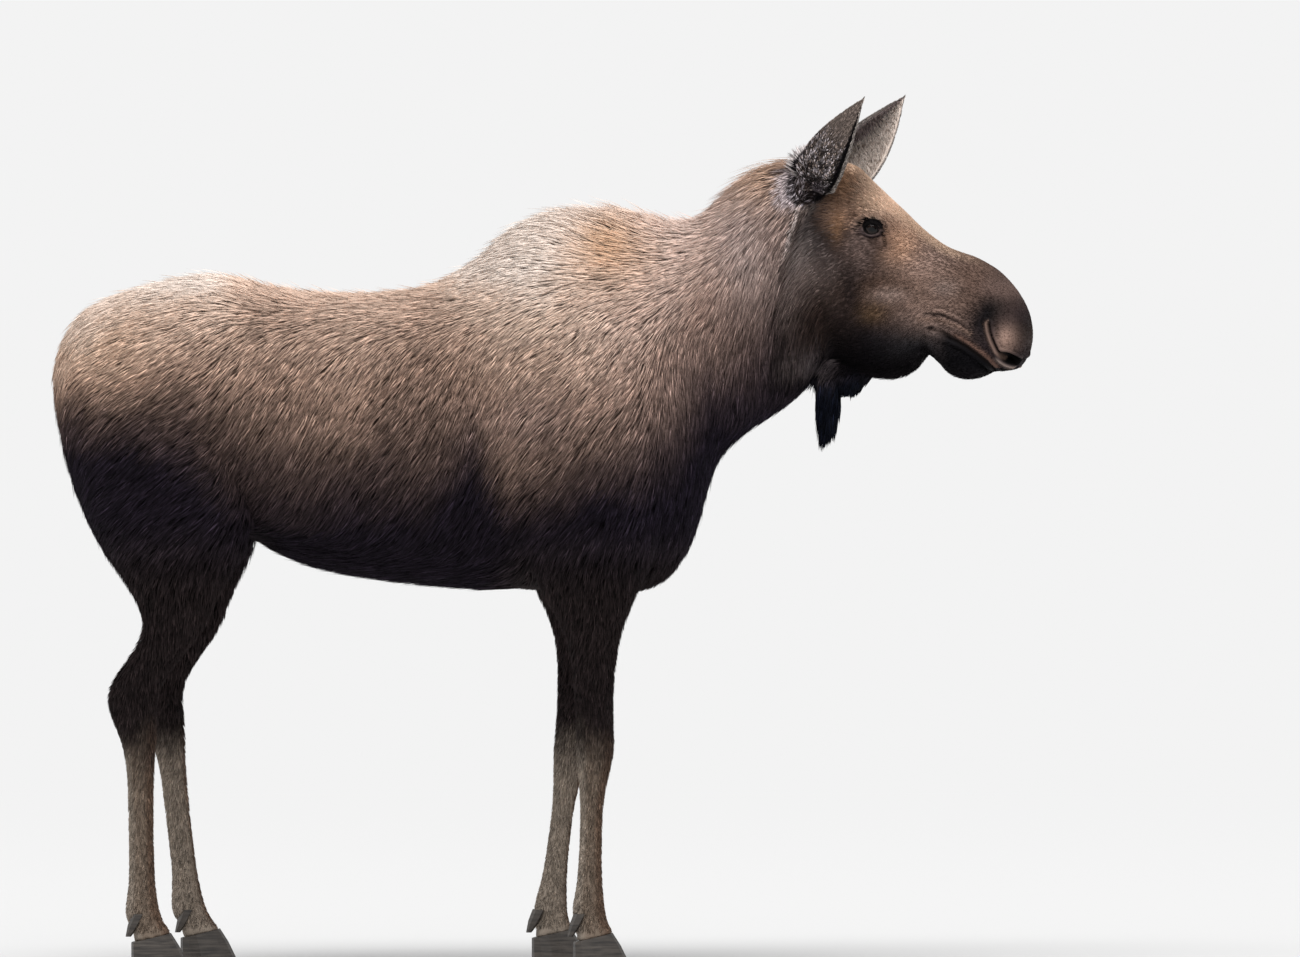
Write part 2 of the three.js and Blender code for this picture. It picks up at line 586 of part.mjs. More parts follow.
function buildLegs(kind, stations, stride, cut, rumpOrChest) {
  let body = rumpOrChest;
  for (const { side, name } of SIDES) {
    const placed = legStations(stations, side, side > 0 ? stride : 0);
    const whole = loftOf(placed, Math.round(stations.length * 1.5), 12);
    const hip = parted(whole, ...plane(cut.hip, upwards));
    body = body.add(hip.ahead);
    const knee = parted(hip.behind, ...plane(cut.knee, upwards));
    const [frontX, frontZ, rearX, rearZ, , , , , y] = placed.at(-1);
    const slope = Math.atan2(frontZ - rearZ, frontX - rearX);
    const coronet = { x: (frontX + rearX) / 2, z: (frontZ + rearZ) / 2 + 3, tilt: -slope };
    const foot = parted(knee.behind, ...plane(coronet, upwards));
    addNode(`${kind}_upper_${name}`, knee.ahead, cut.finish);
    addNode(`${kind}_lower_${name}`, foot.ahead, "shank");
    for (const [toe, outwards] of [["outer", side], ["inner", -side]]) {
      const hoof = parted(hoofToe(rearX - HOOF.heelBehind, y, outwards), ...plane(coronet, upwards)).behind;
      addNode(`${kind}_hoof_${toe}_${name}`, hoof, "hoof");
      const claw = dewclaw(rearX - DEWCLAW.behind, y + outwards * DEWCLAW.apart, DEWCLAW.height, outwards);
      addNode(`${kind}_dewclaw_${toe}_${name}`, seated(claw, foot.ahead, forwards.clone().negate()), "hoof");
    }
  }
  return body;
}

const trunk = joined([loftOf(TRUNK, 36, 28, TRUNK_FORMS), ...mane()]);
const skull = loftOf(HEAD, 28, 28, HEAD_FORMS);
const chin = loftOf(CHIN, 11, 14);

const neckCut = parted(trunk, ...plane(CUTS.neck, forwards));
const [shoulderPlane, barrelPlane] = [plane(CUTS.shoulder, forwards), plane(CUTS.loin, forwards)];
const { ahead: chest, behind: rear } = parted(neckCut.behind, ...shoulderPlane);
const { ahead: barrel, behind: rump } = parted(rear, ...barrelPlane);

addNode("shoulders", buildLegs("foreleg", FORELEG, STRIDE.foreleg, CUTS.foreleg, chest), "coat");
addNode("barrel", barrel, "coat");
addNode("rump", buildLegs("hindleg", HINDLEG, STRIDE.hindleg, CUTS.hindleg, rump), "coat");
addNode("tail", seated(loftOf(TAIL, 9, 12), rump, forwards.clone().negate()), "coat");

const bare = joined([
  skull,
  chin,
  ...both((side) => ellipsoid([EYE.x, side * EYE.y, EYE.z], [EYE.lid, EYE.lid, EYE.lid])), // lids
]);
const earSeat = (side) => {
  const axis = EAR.tip.clone().sub(EAR.root);
  const point = EAR.root.clone().addScaledVector(axis, EAR.seat);
  const mirror = new THREE.Vector3(1, side, 1);
  return [point.multiply(mirror), axis.normalize().multiply(mirror)];
};
const ears = both((side) => parted(earSolid(side), ...earSeat(side)));
const throat = trunk.add(bare);
const headAndNeck = joined([throat, ...ears.map((ear) => ear.behind)]);
const carving = both((side) => joined([eyeOpening(side), eyeball(side, EYE.radius + GAP), nostril(side)]));
const carved = carving.reduce((shape, tool) => shape.subtract(tool), headAndNeck);
const headCut = parted(carved, ...plane(CUTS.head, forwards));

addNode("neck", parted(headCut.behind, ...plane(CUTS.neck, forwards)).ahead, "coat");
addNode("head", headCut.ahead.subtract(underMouth(1)), "face");
addNode("lower_jaw", headCut.ahead.intersect(underMouth(-1)), "dark");
SIDES.forEach(({ side, name }, i) => {
  addNode(`ear_${name}`, seated(ears[i].ahead, headCut.ahead, earSeat(side)[1]), "ear");
  addNode(`eye_${name}`, eyeball(side, EYE.radius), "eye");
});

const bell = joined([
  loftOf(BELL_FLAP, 7, 10),
  loftOf(BELL_TUFT, 8, 8),
  ...fringe(BELL_FLAP, FLAP_FRINGE),
  ...fringe(BELL_TUFT, TUFT_FRINGE),
]);
addNode("bell", seated(bell, throat, upwards.clone().negate()), "dark");

// The origin: on the floor, under the middle of the whole model.
const box = new THREE.Box3().setFromObject(model);
const centre = box.getCenter(new THREE.Vector3());
model.position.set(-centre.x, -centre.y, -box.min.z);

export default new THREE.Group().add(model);
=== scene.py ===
"""A cow moose in her autumn coat, as a life-size museum model: skin, fur, eyes and hooves over the frame.

Lengths are in millimetres until a mesh is made. The animal is built with her neck straight, then bent to her
right. Her left side is +y. In the functions p is an array of points, and n their normals.
"""

import itertools
import math

import bmesh
import bpy
import numpy as np
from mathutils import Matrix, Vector, kdtree
from mathutils.bvhtree import BVHTree


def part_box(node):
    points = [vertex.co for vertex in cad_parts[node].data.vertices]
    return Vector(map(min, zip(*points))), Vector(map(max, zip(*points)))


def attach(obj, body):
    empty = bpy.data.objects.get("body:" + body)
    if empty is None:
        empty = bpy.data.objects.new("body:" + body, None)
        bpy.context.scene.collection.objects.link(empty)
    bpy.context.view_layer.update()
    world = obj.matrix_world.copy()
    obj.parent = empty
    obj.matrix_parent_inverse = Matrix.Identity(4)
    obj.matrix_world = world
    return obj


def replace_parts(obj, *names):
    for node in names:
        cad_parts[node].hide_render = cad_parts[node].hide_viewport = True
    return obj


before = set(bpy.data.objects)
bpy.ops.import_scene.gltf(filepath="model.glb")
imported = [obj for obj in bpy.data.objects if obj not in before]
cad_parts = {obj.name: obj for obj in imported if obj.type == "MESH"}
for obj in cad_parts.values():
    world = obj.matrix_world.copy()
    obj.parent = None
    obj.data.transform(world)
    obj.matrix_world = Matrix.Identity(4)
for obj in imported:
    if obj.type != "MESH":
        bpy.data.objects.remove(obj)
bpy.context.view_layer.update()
rng = np.random.default_rng(11)
scene = bpy.context.scene
SIDES = {"left": 1, "right": -1}

# ---------- the animal's dimensions, as in the solids ----------
NECK_BEND = {"start": 250.0, "length": 350.0, "angle": math.radians(17)}
EYE = np.array([822.0, 95.0, 1761.0])
EYE_RADIUS = 21.0
EYE_TILT = -0.12
EAR_ROOT = np.array([664.0, 78.0, 1866.0])
EAR_TIP = np.array([824.0, 170.0, 2076.0])
EAR_OPENING = np.array([0.5, -0.85, -0.15])
EAR_WIDTH = 70.0
EAR_WIDEST = 0.26
EAR_BOW = 18.0
EAR_SWEEP = 14.0
EAR_ROUNDNESS = 0.6
# How far the left legs are stepped from the right ones.
STRIDE = {"foreleg": -105.0, "hindleg": 120.0}

# A station: upper or front point (x, z), lower or rear point (x, z) and half width; then y, the level of the
# widest place and the squareness of the upper and of the lower half, left out where they are as in PLAIN.
PLAIN = [0, 0.5, 2, 2]
TRUNK = [
    [-1149, 1452, -1151, 1335, 34], [-1137, 1496, -1140, 1262, 100, 0, 0.52],
    [-1096, 1558, -1096, 1180, 168, 0, 0.55, 2.1], [-1030, 1595, -1020, 1115, 216, 0, 0.56, 2.1],
    [-930, 1627, -930, 1078, 248, 0, 0.55], [-785, 1649, -800, 1060, 266, 0, 0.5, 1.9, 2.1],
    [-660, 1624, -690, 1012, 282, 0, 0.45, 1.95, 2.2], [-540, 1608, -570, 955, 297, 0, 0.43, 2, 2.2],
    [-400, 1607, -420, 922, 307, 0, 0.43, 2, 2.2], [-262, 1627, -270, 905, 308, 0, 0.43, 1.9, 2.2],
    [-150, 1694, -140, 894, 302, 0, 0.42, 1.75, 2.2], [-40, 1776, -10, 886, 288, 0, 0.41, 1.6, 2.2],
    [70, 1806, 105, 880, 271, 0, 0.4, 1.55, 2.2], [165, 1806, 200, 878, 252, 0, 0.4, 1.6, 2.1],
    [235, 1792, 280, 903, 232, 0, 0.42, 1.7], [290, 1778, 337, 985, 208, 0, 0.44, 1.8],
    [335, 1774, 368, 1092, 184, 0, 0.46, 1.85], [385, 1792, 402, 1190, 166, 0, 0.47, 1.9],
    [447, 1849, 467, 1261, 152, 0, 0.48, 1.9], [515, 1902, 553, 1312, 141, 0, 0.49, 1.95],
    [585, 1922, 632, 1376, 131], [650, 1915, 690, 1445, 104], [690, 1880, 715, 1500, 60],
]
HEAD = [
    [600, 1850, 560, 1560, 60], [668, 1912, 606, 1500, 96, 0, 0.52],
    [742, 1915, 655, 1466, 105, 0, 0.54, 2.1, 1.9], [786, 1880, 695, 1447, 109, 0, 0.57, 2.2, 1.9],
    [824, 1843, 740, 1424, 112, 0, 0.6, 2.3, 1.8], [868, 1800, 792, 1403, 105, 0, 0.6, 2.4, 1.8],
    [923, 1756, 848, 1398, 91, 0, 0.58, 2.5, 1.9], [973, 1723, 898, 1424, 78, 0, 0.55, 2.5],
    [1010, 1708, 930, 1466, 70, 0, 0.5, 2.5, 2.2], [1043, 1697, 962, 1497, 67, 0, 0.46, 2.5, 2.4],
    [1078, 1680, 1002, 1470, 71, 0, 0.42, 2.4, 2.8], [1110, 1659, 1042, 1449, 76, 0, 0.4, 2.4, 2.8],
    [1147, 1619, 1084, 1428, 77, 0, 0.4, 2.4, 2.6], [1171, 1575, 1119, 1425, 73, 0, 0.42, 2.4, 2.4],
    [1181, 1532, 1143, 1427, 58, 0, 0.45, 2.3, 2.3], [1182, 1502, 1163, 1440, 35],
    [1179, 1482, 1173, 1458, 12],
]
CHIN = [
    [860, 1520, 860, 1432, 46, 0, 0.6, 3], [905, 1530, 905, 1452, 55, 0, 0.64, 3],
    [935, 1534, 932, 1462, 59, 0, 0.68, 3], [970, 1532, 958, 1440, 60, 0, 0.68, 3],
    [1012, 1510, 990, 1411, 60, 0, 0.68, 3], [1052, 1484, 1032, 1401, 57, 0, 0.66, 3],
    [1082, 1460, 1071, 1409, 47, 0, 0.62, 3], [1101, 1441, 1093, 1425, 22],
]
LEGS = {
    "foreleg": [
        [250, 1330, 40, 1370, 70, 128], [300, 1170, -10, 1220, 96, 156], [292, 1070, -42, 1080, 98, 164],
        [262, 985, -42, 985, 86, 164], [228, 905, -8, 890, 72, 158], [200, 840, 28, 830, 62, 154],
        [178, 765, 54, 758, 53, 149], [166, 660, 68, 655, 45, 143],
        [166, 580, 72, 572, 44, 137, 0.5, 2.2, 2.2], [168, 520, 72, 512, 46, 134, 0.5, 2.3, 2.3],
        [154, 458, 78, 455, 39, 132, 0.5, 2.2, 2.2], [141, 390, 82, 388, 30, 130],
        [137, 270, 79, 268, 28, 128], [139, 195, 72, 190, 32, 127],
        [144, 152, 62, 142, 38, 126, 0.5, 2.1, 2.1], [150, 114, 72, 100, 36, 126, 0.5, 2.1, 2.1],
        [166, 84, 72, 62, 44, 126, 0.5, 2.3, 2.3],
    ],
    "hindleg": [
        [-730, 1440, -1090, 1490, 88, 118], [-710, 1310, -1146, 1385, 122, 134],
        [-694, 1200, -1152, 1285, 130, 148], [-688, 1110, -1132, 1190, 122, 158],
        [-700, 1030, -1090, 1080, 104, 164], [-732, 955, -1034, 975, 84, 165],
        [-775, 880, -988, 900, 66, 160], [-808, 805, -958, 830, 52, 153], [-862, 738, -978, 768, 43, 147],
        [-904, 680, -1022, 702, 40, 143, 0.5, 2.2], [-918, 640, -1046, 652, 41, 141, 0.5, 2.3],
        [-918, 598, -1034, 598, 41, 140, 0.5, 2.2], [-920, 545, -1010, 542, 36, 139],
        [-926, 470, -996, 468, 30, 138], [-928, 350, -992, 348, 28, 137], [-925, 225, -990, 220, 29, 136],
        [-921, 180, -996, 170, 33, 136], [-916, 146, -1000, 132, 38, 136, 0.5, 2.1, 2.1],
        [-904, 112, -984, 94, 35, 136, 0.5, 2.1, 2.1], [-884, 84, -978, 62, 43, 136, 0.5, 2.3, 2.3],
    ],
}
TAIL = [
    [-1091, 1500, -1076, 1440, 30], [-1136, 1490, -1098, 1420, 34], [-1160, 1440, -1121, 1400, 30],
    [-1165, 1395, -1132, 1370, 24], [-1162, 1358, -1138, 1350, 12],
]
BELL_FLAP = [
    [798, 1440, 690, 1440, 26], [786, 1405, 688, 1405, 24], [775, 1385, 692, 1378, 20],
    [760, 1370, 702, 1363, 14], [744, 1364, 718, 1358, 6],
]
BELL_TUFT = [
    [720, 1450, 644, 1450, 26], [719, 1400, 646, 1396, 25], [716, 1350, 652, 1346, 21],
    [708, 1300, 658, 1296, 16], [694, 1262, 662, 1260, 11], [681, 1234, 669, 1234, 4],
]
# Muscles, bones and hollows: x, y, z of the middle, reach along each, and how far the skin is lifted there.
TRUNK_FORMS = [
    [50, 230, 1560, 150, 160, 260, 20], [140, 240, 1210, 170, 170, 190, 22],
    [-130, 280, 1240, 75, 170, 240, -16], [-800, 190, 1570, 130, 140, 100, 18],
    [-935, 240, 1340, 170, 160, 220, 26], [-610, 260, 1450, 120, 150, 130, -20],
    [300, 150, 1330, 60, 120, 120, 12], [470, 130, 1480, 90, 90, 60, -10],
]
HEAD_FORMS = [
    [826, 100, 1772, 62, 60, 48, 24], [765, 105, 1560, 110, 70, 105, 12], [742, 80, 1850, 44, 50, 40, -10],
    [905, 95, 1665, 95, 50, 34, 7], [960, 60, 1560, 60, 50, 45, -7], [1138, 74, 1486, 52, 50, 60, 15],
    [1075, 60, 1600, 50, 50, 50, -5],
]

# ---------- how deep the coat is, from the skin to the outside of the solids ----------
DEPTH_TRUNK = 20.0
DEPTH_HEAD = 4.0
DEPTH_CHIN = 4.0
DEPTH_BELL = 7.0
DEPTH_TAIL = 12.0
DEPTH_LEG = ([0, 300, 480, 800, 1100], [2.5, 3.5, 5.0, 9.0, 16.0])


# ---------- small helpers ----------
def unit(v):
    return v / np.maximum(np.linalg.norm(v, axis=-1, keepdims=True), 1e-9)


def smooth(low, high, x):
    """From 0 at low to 1 at high, without corners."""
    t = np.clip((x - low) / (high - low), 0, 1)
    return t * t * (3 - 2 * t)


def near(gap, reach):
    """1 where the gap is nothing, and next to nothing at twice the reach."""
    return np.exp(-((gap / reach) ** 2))


def flat_on(way, n):
    """A way laid against a surface."""
    return unit(way - n * (way * n).sum(1)[:, None])


def turned_about(v, axis, angle):
    return v * np.cos(angle)[:, None] + np.cross(axis, v) * np.sin(angle)[:, None]


def on_left(p):
    """Points of both sides as if they were on the left."""
    return p * [1, 0, 1] + [0, 1, 0] * np.abs(p)


def grid(along, around):
    return np.meshgrid(along, around, indexing="ij")


def circle(count, start=0.0):
    """Angles spread round a circle."""
    return (np.arange(count) + start) / count * 2 * np.pi


def noise(p, size, seed=0):
    """Smooth random numbers from -1 to 1, one for each point, that change over a distance of size."""
    q = p / size + seed * 17.31
    cell = np.floor(q).astype(np.int64)
    f = q - cell
    f = f * f * (3 - 2 * f)
    total = np.zeros(len(p))
    for corner in itertools.product((0, 1), repeat=3):
        c = cell + corner
        h = c[:, 0] * 374761393 + c[:, 1] * 668265263 + c[:, 2] * 1442695041 + seed * 974634777
        h = ((h ^ (h >> 13)) * 1274126177) & 0x7FFFFFFF
        h = h ^ (h >> 16)
        weight = np.prod(np.where(corner, f, 1 - f), axis=1)
        total += weight * ((h & 0xFFFF) / 32767.5 - 1)
    return total


# ---------- lofts ----------
def catmull(p, t):
    """The curve that three.js draws through the points, at shares t of its length."""
    p = np.vstack([2 * p[0] - p[1], p, 2 * p[-1] - p[-2]])
    along = np.clip(t, 0, 1) * (len(p) - 3)
    i = np.minimum(along.astype(int), len(p) - 4)
    w = (along - i)[:, None]
    a, b, c, d = p[i], p[i + 1], p[i + 2], p[i + 3]
    t0, t1 = 0.5 * (c - a), 0.5 * (d - b)
    return b + t0 * w + (-3 * b + 3 * c - 2 * t0 - t1) * w**2 + (2 * b - 2 * c + t0 + t1) * w**3


def whole(stations):
    """Stations with the values that they leave out."""
    return np.array([[*row, *PLAIN[len(row) - 5 :]] for row in stations], float)


def lifted(p, forms):
    """How far the forms lift the skin at points."""
    lift = np.zeros(len(p))
    for x, y, z, rx, ry, rz, most in forms:
        away = ((p[:, 0] - x) / rx) ** 2 + ((np.abs(p[:, 1]) - y) / ry) ** 2 + ((p[:, 2] - z) / rz) ** 2
        lift += most * np.exp(-away)
    return lift


def skin_points(stations, t, angle, height=0.0, forms=()):
    """Points of a loft at shares t of its length and at angles round it, a quarter turn being the top."""
    s = whole(stations)
    upper, lower = catmull(s[:, [0, 5, 1]], t), catmull(s[:, [2, 5, 3]], t)
    width, widest, upper_square, lower_square = catmull(s[:, [4, 6, 7, 8]], t).T
    cosine, sine = np.cos(angle), np.sin(angle)
    power = 2 / np.where(sine >= 0, upper_square, lower_square)
    rise = np.sign(sine) * np.abs(sine) ** power * np.where(sine >= 0, 1 - widest, widest)
    point = lower + (upper - lower) * (widest + rise)[:, None]
    point[:, 1] += np.sign(cosine) * np.abs(cosine) ** power * width
    outwards = unit((point - (upper + lower) / 2) * [1, 2, 1])
    return point + outwards * (lifted(point, forms) + height)[:, None]


def tube(rings):
    """Vertices and faces of a closed skin through rings of points, with a fan at both ends."""
    count, around = rings.shape[:2]
    verts = np.vstack([rings.reshape(-1, 3), rings[0].mean(0), rings[-1].mean(0)])
    k = np.arange(around)
    following = (k + 1) % around
    a = np.arange(count - 1)[:, None] * around
    b = a + around
    quads = np.stack([a + k, a + following, b + following, b + k], -1).reshape(-1, 4)
    last = (count - 1) * around
    first_fan = np.stack([np.full(around, len(verts) - 2), following, k], -1)
    last_fan = np.stack([np.full(around, len(verts) - 1), last + k, last + following], -1)
    return verts, quads.tolist() + first_fan.tolist() + last_fan.tolist()


def loft(stations, rings, around, forms=(), depth=0.0):
    """A closed skin that lies under the surface of its stations by the coat's depth."""
    t, angle = (part.ravel() for part in grid(np.linspace(0, 1, rings), circle(around, 0.5)))
    outside = skin_points(stations, t, angle, 0.0, forms)
    inwards = depth(outside) if callable(depth) else np.full(len(outside), depth)
    return tube(skin_points(stations, t, angle, -inwards, forms).reshape(rings, around, 3))


def leg_stations(limb, side):
    """A leg's stations on its side; the left one is stepped more and more from its third station down."""
    s = whole(LEGS[limb])
    stride = STRIDE[limb] if side > 0 else 0
    top = s[2, 1]
    s[:, [0, 2]] += stride * np.clip((top - s[:, [1, 3]]) / top, 0, 1)
    s[:, 5] *= side
    return s


def ball(centre, radius, detail=32):
    t, k = grid(np.linspace(0.02, 0.98, detail) * np.pi, circle(detail))
    return tube(np.stack([np.sin(t) * np.cos(k), np.sin(t) * np.sin(k), np.cos(t)], -1) * radius + centre)


# ---------- meshes ----------
def turned(p):
    """The neck bent to the animal's right: an arc from its base, then the head, turned by the whole angle."""
    start, length, angle = NECK_BEND["start"], NECK_BEND["length"], NECK_BEND["angle"]
    x, y, z = p.T
    along = x - start
    radius = length / angle
    heading = np.clip(along / length, 0, 1) * angle
    past = np.maximum(along - length, 0)
    bent_x = start + radius * np.sin(heading) + past * np.cos(heading) + y * np.sin(heading)
    bent_y = -radius * (1 - np.cos(heading)) - past * np.sin(heading) + y * np.cos(heading)
    return np.where((along > 0)[:, None], np.stack([bent_x, bent_y, z], -1), p)


# The solids are centred along x, so everything here is moved until the left eye lies in its solid.
low, high = (np.array(corner) * 1000 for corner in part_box("eye_left"))
OFFSET = np.array([((low + high) / 2 - turned(EYE[None])[0])[0], 0, 0])


def placed(p):
    """From the animal's own millimetres, neck straight, to the frame's metres."""
    return (turned(np.asarray(p, float)) + OFFSET) / 1000


def new_mesh(name, verts, faces):
    """A smooth mesh from vertices in metres and an array of triangles, or a list of mixed faces."""
    mesh = bpy.data.meshes.new(name)
    if isinstance(faces, np.ndarray):
        mesh.vertices.add(len(verts))
        mesh.vertices.foreach_set("co", np.asarray(verts, np.float32).ravel())
        mesh.loops.add(faces.size)
        mesh.loops.foreach_set("vertex_index", faces.astype(np.int32).ravel())
        mesh.polygons.add(len(faces))
        mesh.polygons.foreach_set("loop_start", np.arange(0, faces.size, 3, dtype=np.int32))
        mesh.update(calc_edges=True)
    else:
        mesh.from_pydata([tuple(v) for v in verts], [], faces)
        mesh.update()
    mesh.polygons.foreach_set("use_smooth", np.ones(len(mesh.polygons), bool))
    return mesh


def new_object(name, data, material=None):
    obj = bpy.data.objects.new(name, data)
    scene.collection.objects.link(obj)
    if material:
        data.materials.append(material)
    return obj


def new_piece(name, mesh, material):
    """An object of the model, riding on the frame's one body."""
    piece = new_object(name, mesh, material)
    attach(piece, "root")
    return piece


def paint(mesh, colours):
    layer = mesh.color_attributes.new("tint", "FLOAT_COLOR", "POINT")
    rgba = np.ones((len(colours), 4), np.float32)
    rgba[:, :3] = np.clip(colours, 0, 1)
    layer.data.foreach_set("color", rgba.ravel())


def arrays(mesh):
    """A mesh's vertices and triangles."""
    verts = np.empty(len(mesh.vertices) * 3, np.float32)
    mesh.vertices.foreach_get("co", verts)
    mesh.calc_loop_triangles()
    tris = np.empty(len(mesh.loop_triangles) * 3, np.int32)
    mesh.loop_triangles.foreach_get("vertices", tris)
    return verts.reshape(-1, 3).astype(float), tris.reshape(-1, 3)


def merged(shapes):
    verts, faces, start = [], [], 0
    for v, f in shapes:
        verts.append(v)
        faces += [[i + start for i in face] for face in f]
        start += len(v)
    return np.vstack(verts), faces


def outward_triangles(verts, faces, centre=(0, 0, 0)):
    """A closed skin's faces cut into triangles that face away from a centre."""
    tris = np.array([[f[0], f[i], f[i + 1]] for f in faces for i in range(1, len(f) - 1)], np.int32)
    a, b, c = (verts[tris[:, i]] - centre for i in range(3))
    inside_out = (a * np.cross(b, c)).sum() < 0
    return tris[:, ::-1].copy() if inside_out else tris


def with_modifier(mesh, kind, setup):
    """The mesh after one modifier, as a new mesh."""
    obj = new_object("making", mesh)
    setup(obj, obj.modifiers.new("making", kind))
    depsgraph = bpy.context.evaluated_depsgraph_get()
    result = bpy.data.meshes.new_from_object(obj.evaluated_get(depsgraph))
    bpy.data.objects.remove(obj)
    bpy.data.meshes.remove(mesh)
    return result


def union(shapes, voxel):
    def setup(obj, modifier):
        modifier.mode = "VOXEL"
        modifier.voxel_size = voxel

    return with_modifier(new_mesh("making", *merged(shapes)), "REMESH", setup)


def vertex_normals(verts, tris):
    a, b, c = (verts[tris[:, i]] for i in range(3))
    cross = np.cross(b - a, c - a)
    total = np.zeros_like(verts)
    for corner, axis in itertools.product(range(3), repeat=2):
        total[:, axis] += np.bincount(tris[:, corner], cross[:, axis], len(verts))
    return unit(total)


def relaxed(verts, tris, share, rounds):
    """Moves each vertex towards the middle of its neighbours by its own share."""
    a = tris[:, [0, 1, 2]].ravel()
    b = tris[:, [1, 2, 0]].ravel()
    count = np.maximum(np.bincount(a, minlength=len(verts)), 1)
    for _ in range(rounds):
        mean = np.stack([np.bincount(a, verts[b, axis], len(verts)) / count for axis in range(3)], -1)
        verts = verts + (mean - verts) * share[:, None]
    return verts


# ---------- the skin ----------
BODY_VERTS = 24_000
SKIN_VOXEL = 5.3
SOCKET_RADIUS = 24.0
# Where the body ends and the head and the feet begin: x and z.
BODY_ENDS = (590, 130)
# Where the skin gets finer faces: within a reach of the eyes, in the muzzle's box, and close to the nostrils.
EYE_AREA = 62
LID_AREA = 38
MUZZLE = {"rear": 930, "low": 1385, "high": 1590, "inner": 15}
NOSTRIL_AREA = {"slit": 16, "ring": 2.2, "rear": 1080, "inner": 18}
# How far the skin is evened out on the body and on the head, and how often, before and after it is sculpted.
EVENING = {"before": (0.5, 0.35, 6), "after": (0.3, 0.15, 2)}
# Where the head begins for the second time of evening out.
FACE_START = 700

# Lines of the face, as x and z on its side.
MOUTH = np.array([
    [952, 1523], [974, 1516], [1010, 1500], [1042, 1484], [1072, 1464], [1094, 1447], [1104, 1432]])
MOUTH_FOLD = np.array([[925, 1561], [978, 1556], [1020, 1541], [1052, 1524]])
NOSTRIL_SLIT = np.array([[1104, 1536], [1108, 1518], [1117, 1496], [1128, 1474], [1138, 1463]])
TEAR_LINE = np.array([[845, 1752], [851, 1742], [853, 1724]])
NOSTRIL = {"x": 1150, "z": 1454, "long": 22.0, "high": 13.5, "tilt": math.radians(-33)}
# The opening of the lids: half its length, its heights above and below the middle, and its squareness.
LIDS = {"long": 17.0, "above": 12.0, "below": 11.5, "power": 1.9}
# How far the skin lies from the eye's middle by the distance outside the opening; the upper lid adds more.
LID_RADIUS = ([-3, 0.5, 2.5, 6, 10, 15, 20], [16, 22.2, 24.6, 25.4, 24.2, 26.2, 28.5])
UPPER_LID = ([0, 4, 9, 14, 20], [0.8, 1.6, -1.0, 2.0, 0])
# Folds over the eye: how far outside the opening of the lids, and how deep.
BROW_FOLDS = [(21, 1.3), (29, 1.5), (38, 1.1)]
# The folds beside the corner of the mouth: how far from the first one in x and z, how deep and how wide.
FOLDS = [((0, 0), 5.0, 4.5), ((6, 16), 1.8, 4.0), ((6, -15), 1.4, 4.0)]


def away_from(line, p):
    """How far points are from a line in the side view, and how far along it they lie, from 0 to 1."""
    x, z = p[:, 0], p[:, 2]
    best = np.full(len(p), 1e9)
    along = np.zeros(len(p))
    for i, (a, b) in enumerate(zip(line[:-1], line[1:])):
        step = b - a
        t = np.clip(((x - a[0]) * step[0] + (z - a[1]) * step[1]) / (step @ step), 0, 1)
        gap = np.hypot(x - a[0] - t * step[0], z - a[1] - t * step[1])
        closer = gap < best
        best = np.where(closer, gap, best)
        along = np.where(closer, (i + t) / (len(line) - 1), along)
    return best, along


def nostril_ring(p):
    """0 in the middle of the nostril, 1 at its edge."""
    x, z = p[:, 0] - NOSTRIL["x"], p[:, 2] - NOSTRIL["z"]
    cosine, sine = math.cos(NOSTRIL["tilt"]), math.sin(NOSTRIL["tilt"])
    return np.hypot((x * cosine + z * sine) / NOSTRIL["long"], (z * cosine - x * sine) / NOSTRIL["high"])


def lid_distance(d):
    """How far points round the eye lie outside the opening of the lids, and their place across it."""
    u = d[:, 0] * math.cos(EYE_TILT) + d[:, 2] * math.sin(EYE_TILT)
    v = -d[:, 0] * math.sin(EYE_TILT) + d[:, 2] * math.cos(EYE_TILT)
    high, power = np.where(v > 0, LIDS["above"], LIDS["below"]), LIDS["power"]
    ring = (np.abs(u / LIDS["long"]) ** power + np.abs(v / high) ** power) ** (1 / power)
    return (ring - 1) * LIDS["below"], u, v


def round_eye(p):
    """How far points are from the eye on their side, with their lid distances."""
    d = p - EYE * np.stack([np.ones(len(p)), np.sign(p[:, 1]), np.ones(len(p))], -1)
    return np.linalg.norm(d, axis=1), *lid_distance(d)


def trunk_depth(p):
    return DEPTH_TRUNK * (1 - 0.45 * smooth(560, 700, p[:, 0]))


def leg_depth(p):
    return np.interp(p[:, 2], *DEPTH_LEG)


def head_depth(p):
    """Least on the nose, and more under the jaw and towards the neck."""
    x, z = p[:, 0], p[:, 2]
    jaw = 5 * smooth(1520, 1430, z) * smooth(900, 820, x)
    return DEPTH_HEAD * (1 - 0.6 * smooth(950, 1080, x)) + jaw + 8 * smooth(730, 610, x)


def ear_frame(side):
    """The ear's axis, the way it opens, the way across it and its root, for one side."""
    mirror = np.array([1, side, 1])
    axis = EAR_TIP - EAR_ROOT
    along = unit(axis)
    opening = unit(EAR_OPENING - along * (EAR_OPENING @ along))
    across = np.cross(along, opening)
    return axis * mirror, opening * mirror, across * mirror, EAR_ROOT * mirror


def ear_leaf(t):
    """Half the ear's width at shares t of its length."""
    swell = 0.76 + 0.24 * np.sin(np.clip(t / EAR_WIDEST, 0, 1) * np.pi / 2)
    stalk = 1 + 1.5 * np.minimum(t, 0)
    taper = 1 - (np.clip(t - EAR_WIDEST, 0, None) / (1 - EAR_WIDEST)) ** 1.6
    return EAR_WIDTH * swell * stalk * np.maximum(taper, 0.03)


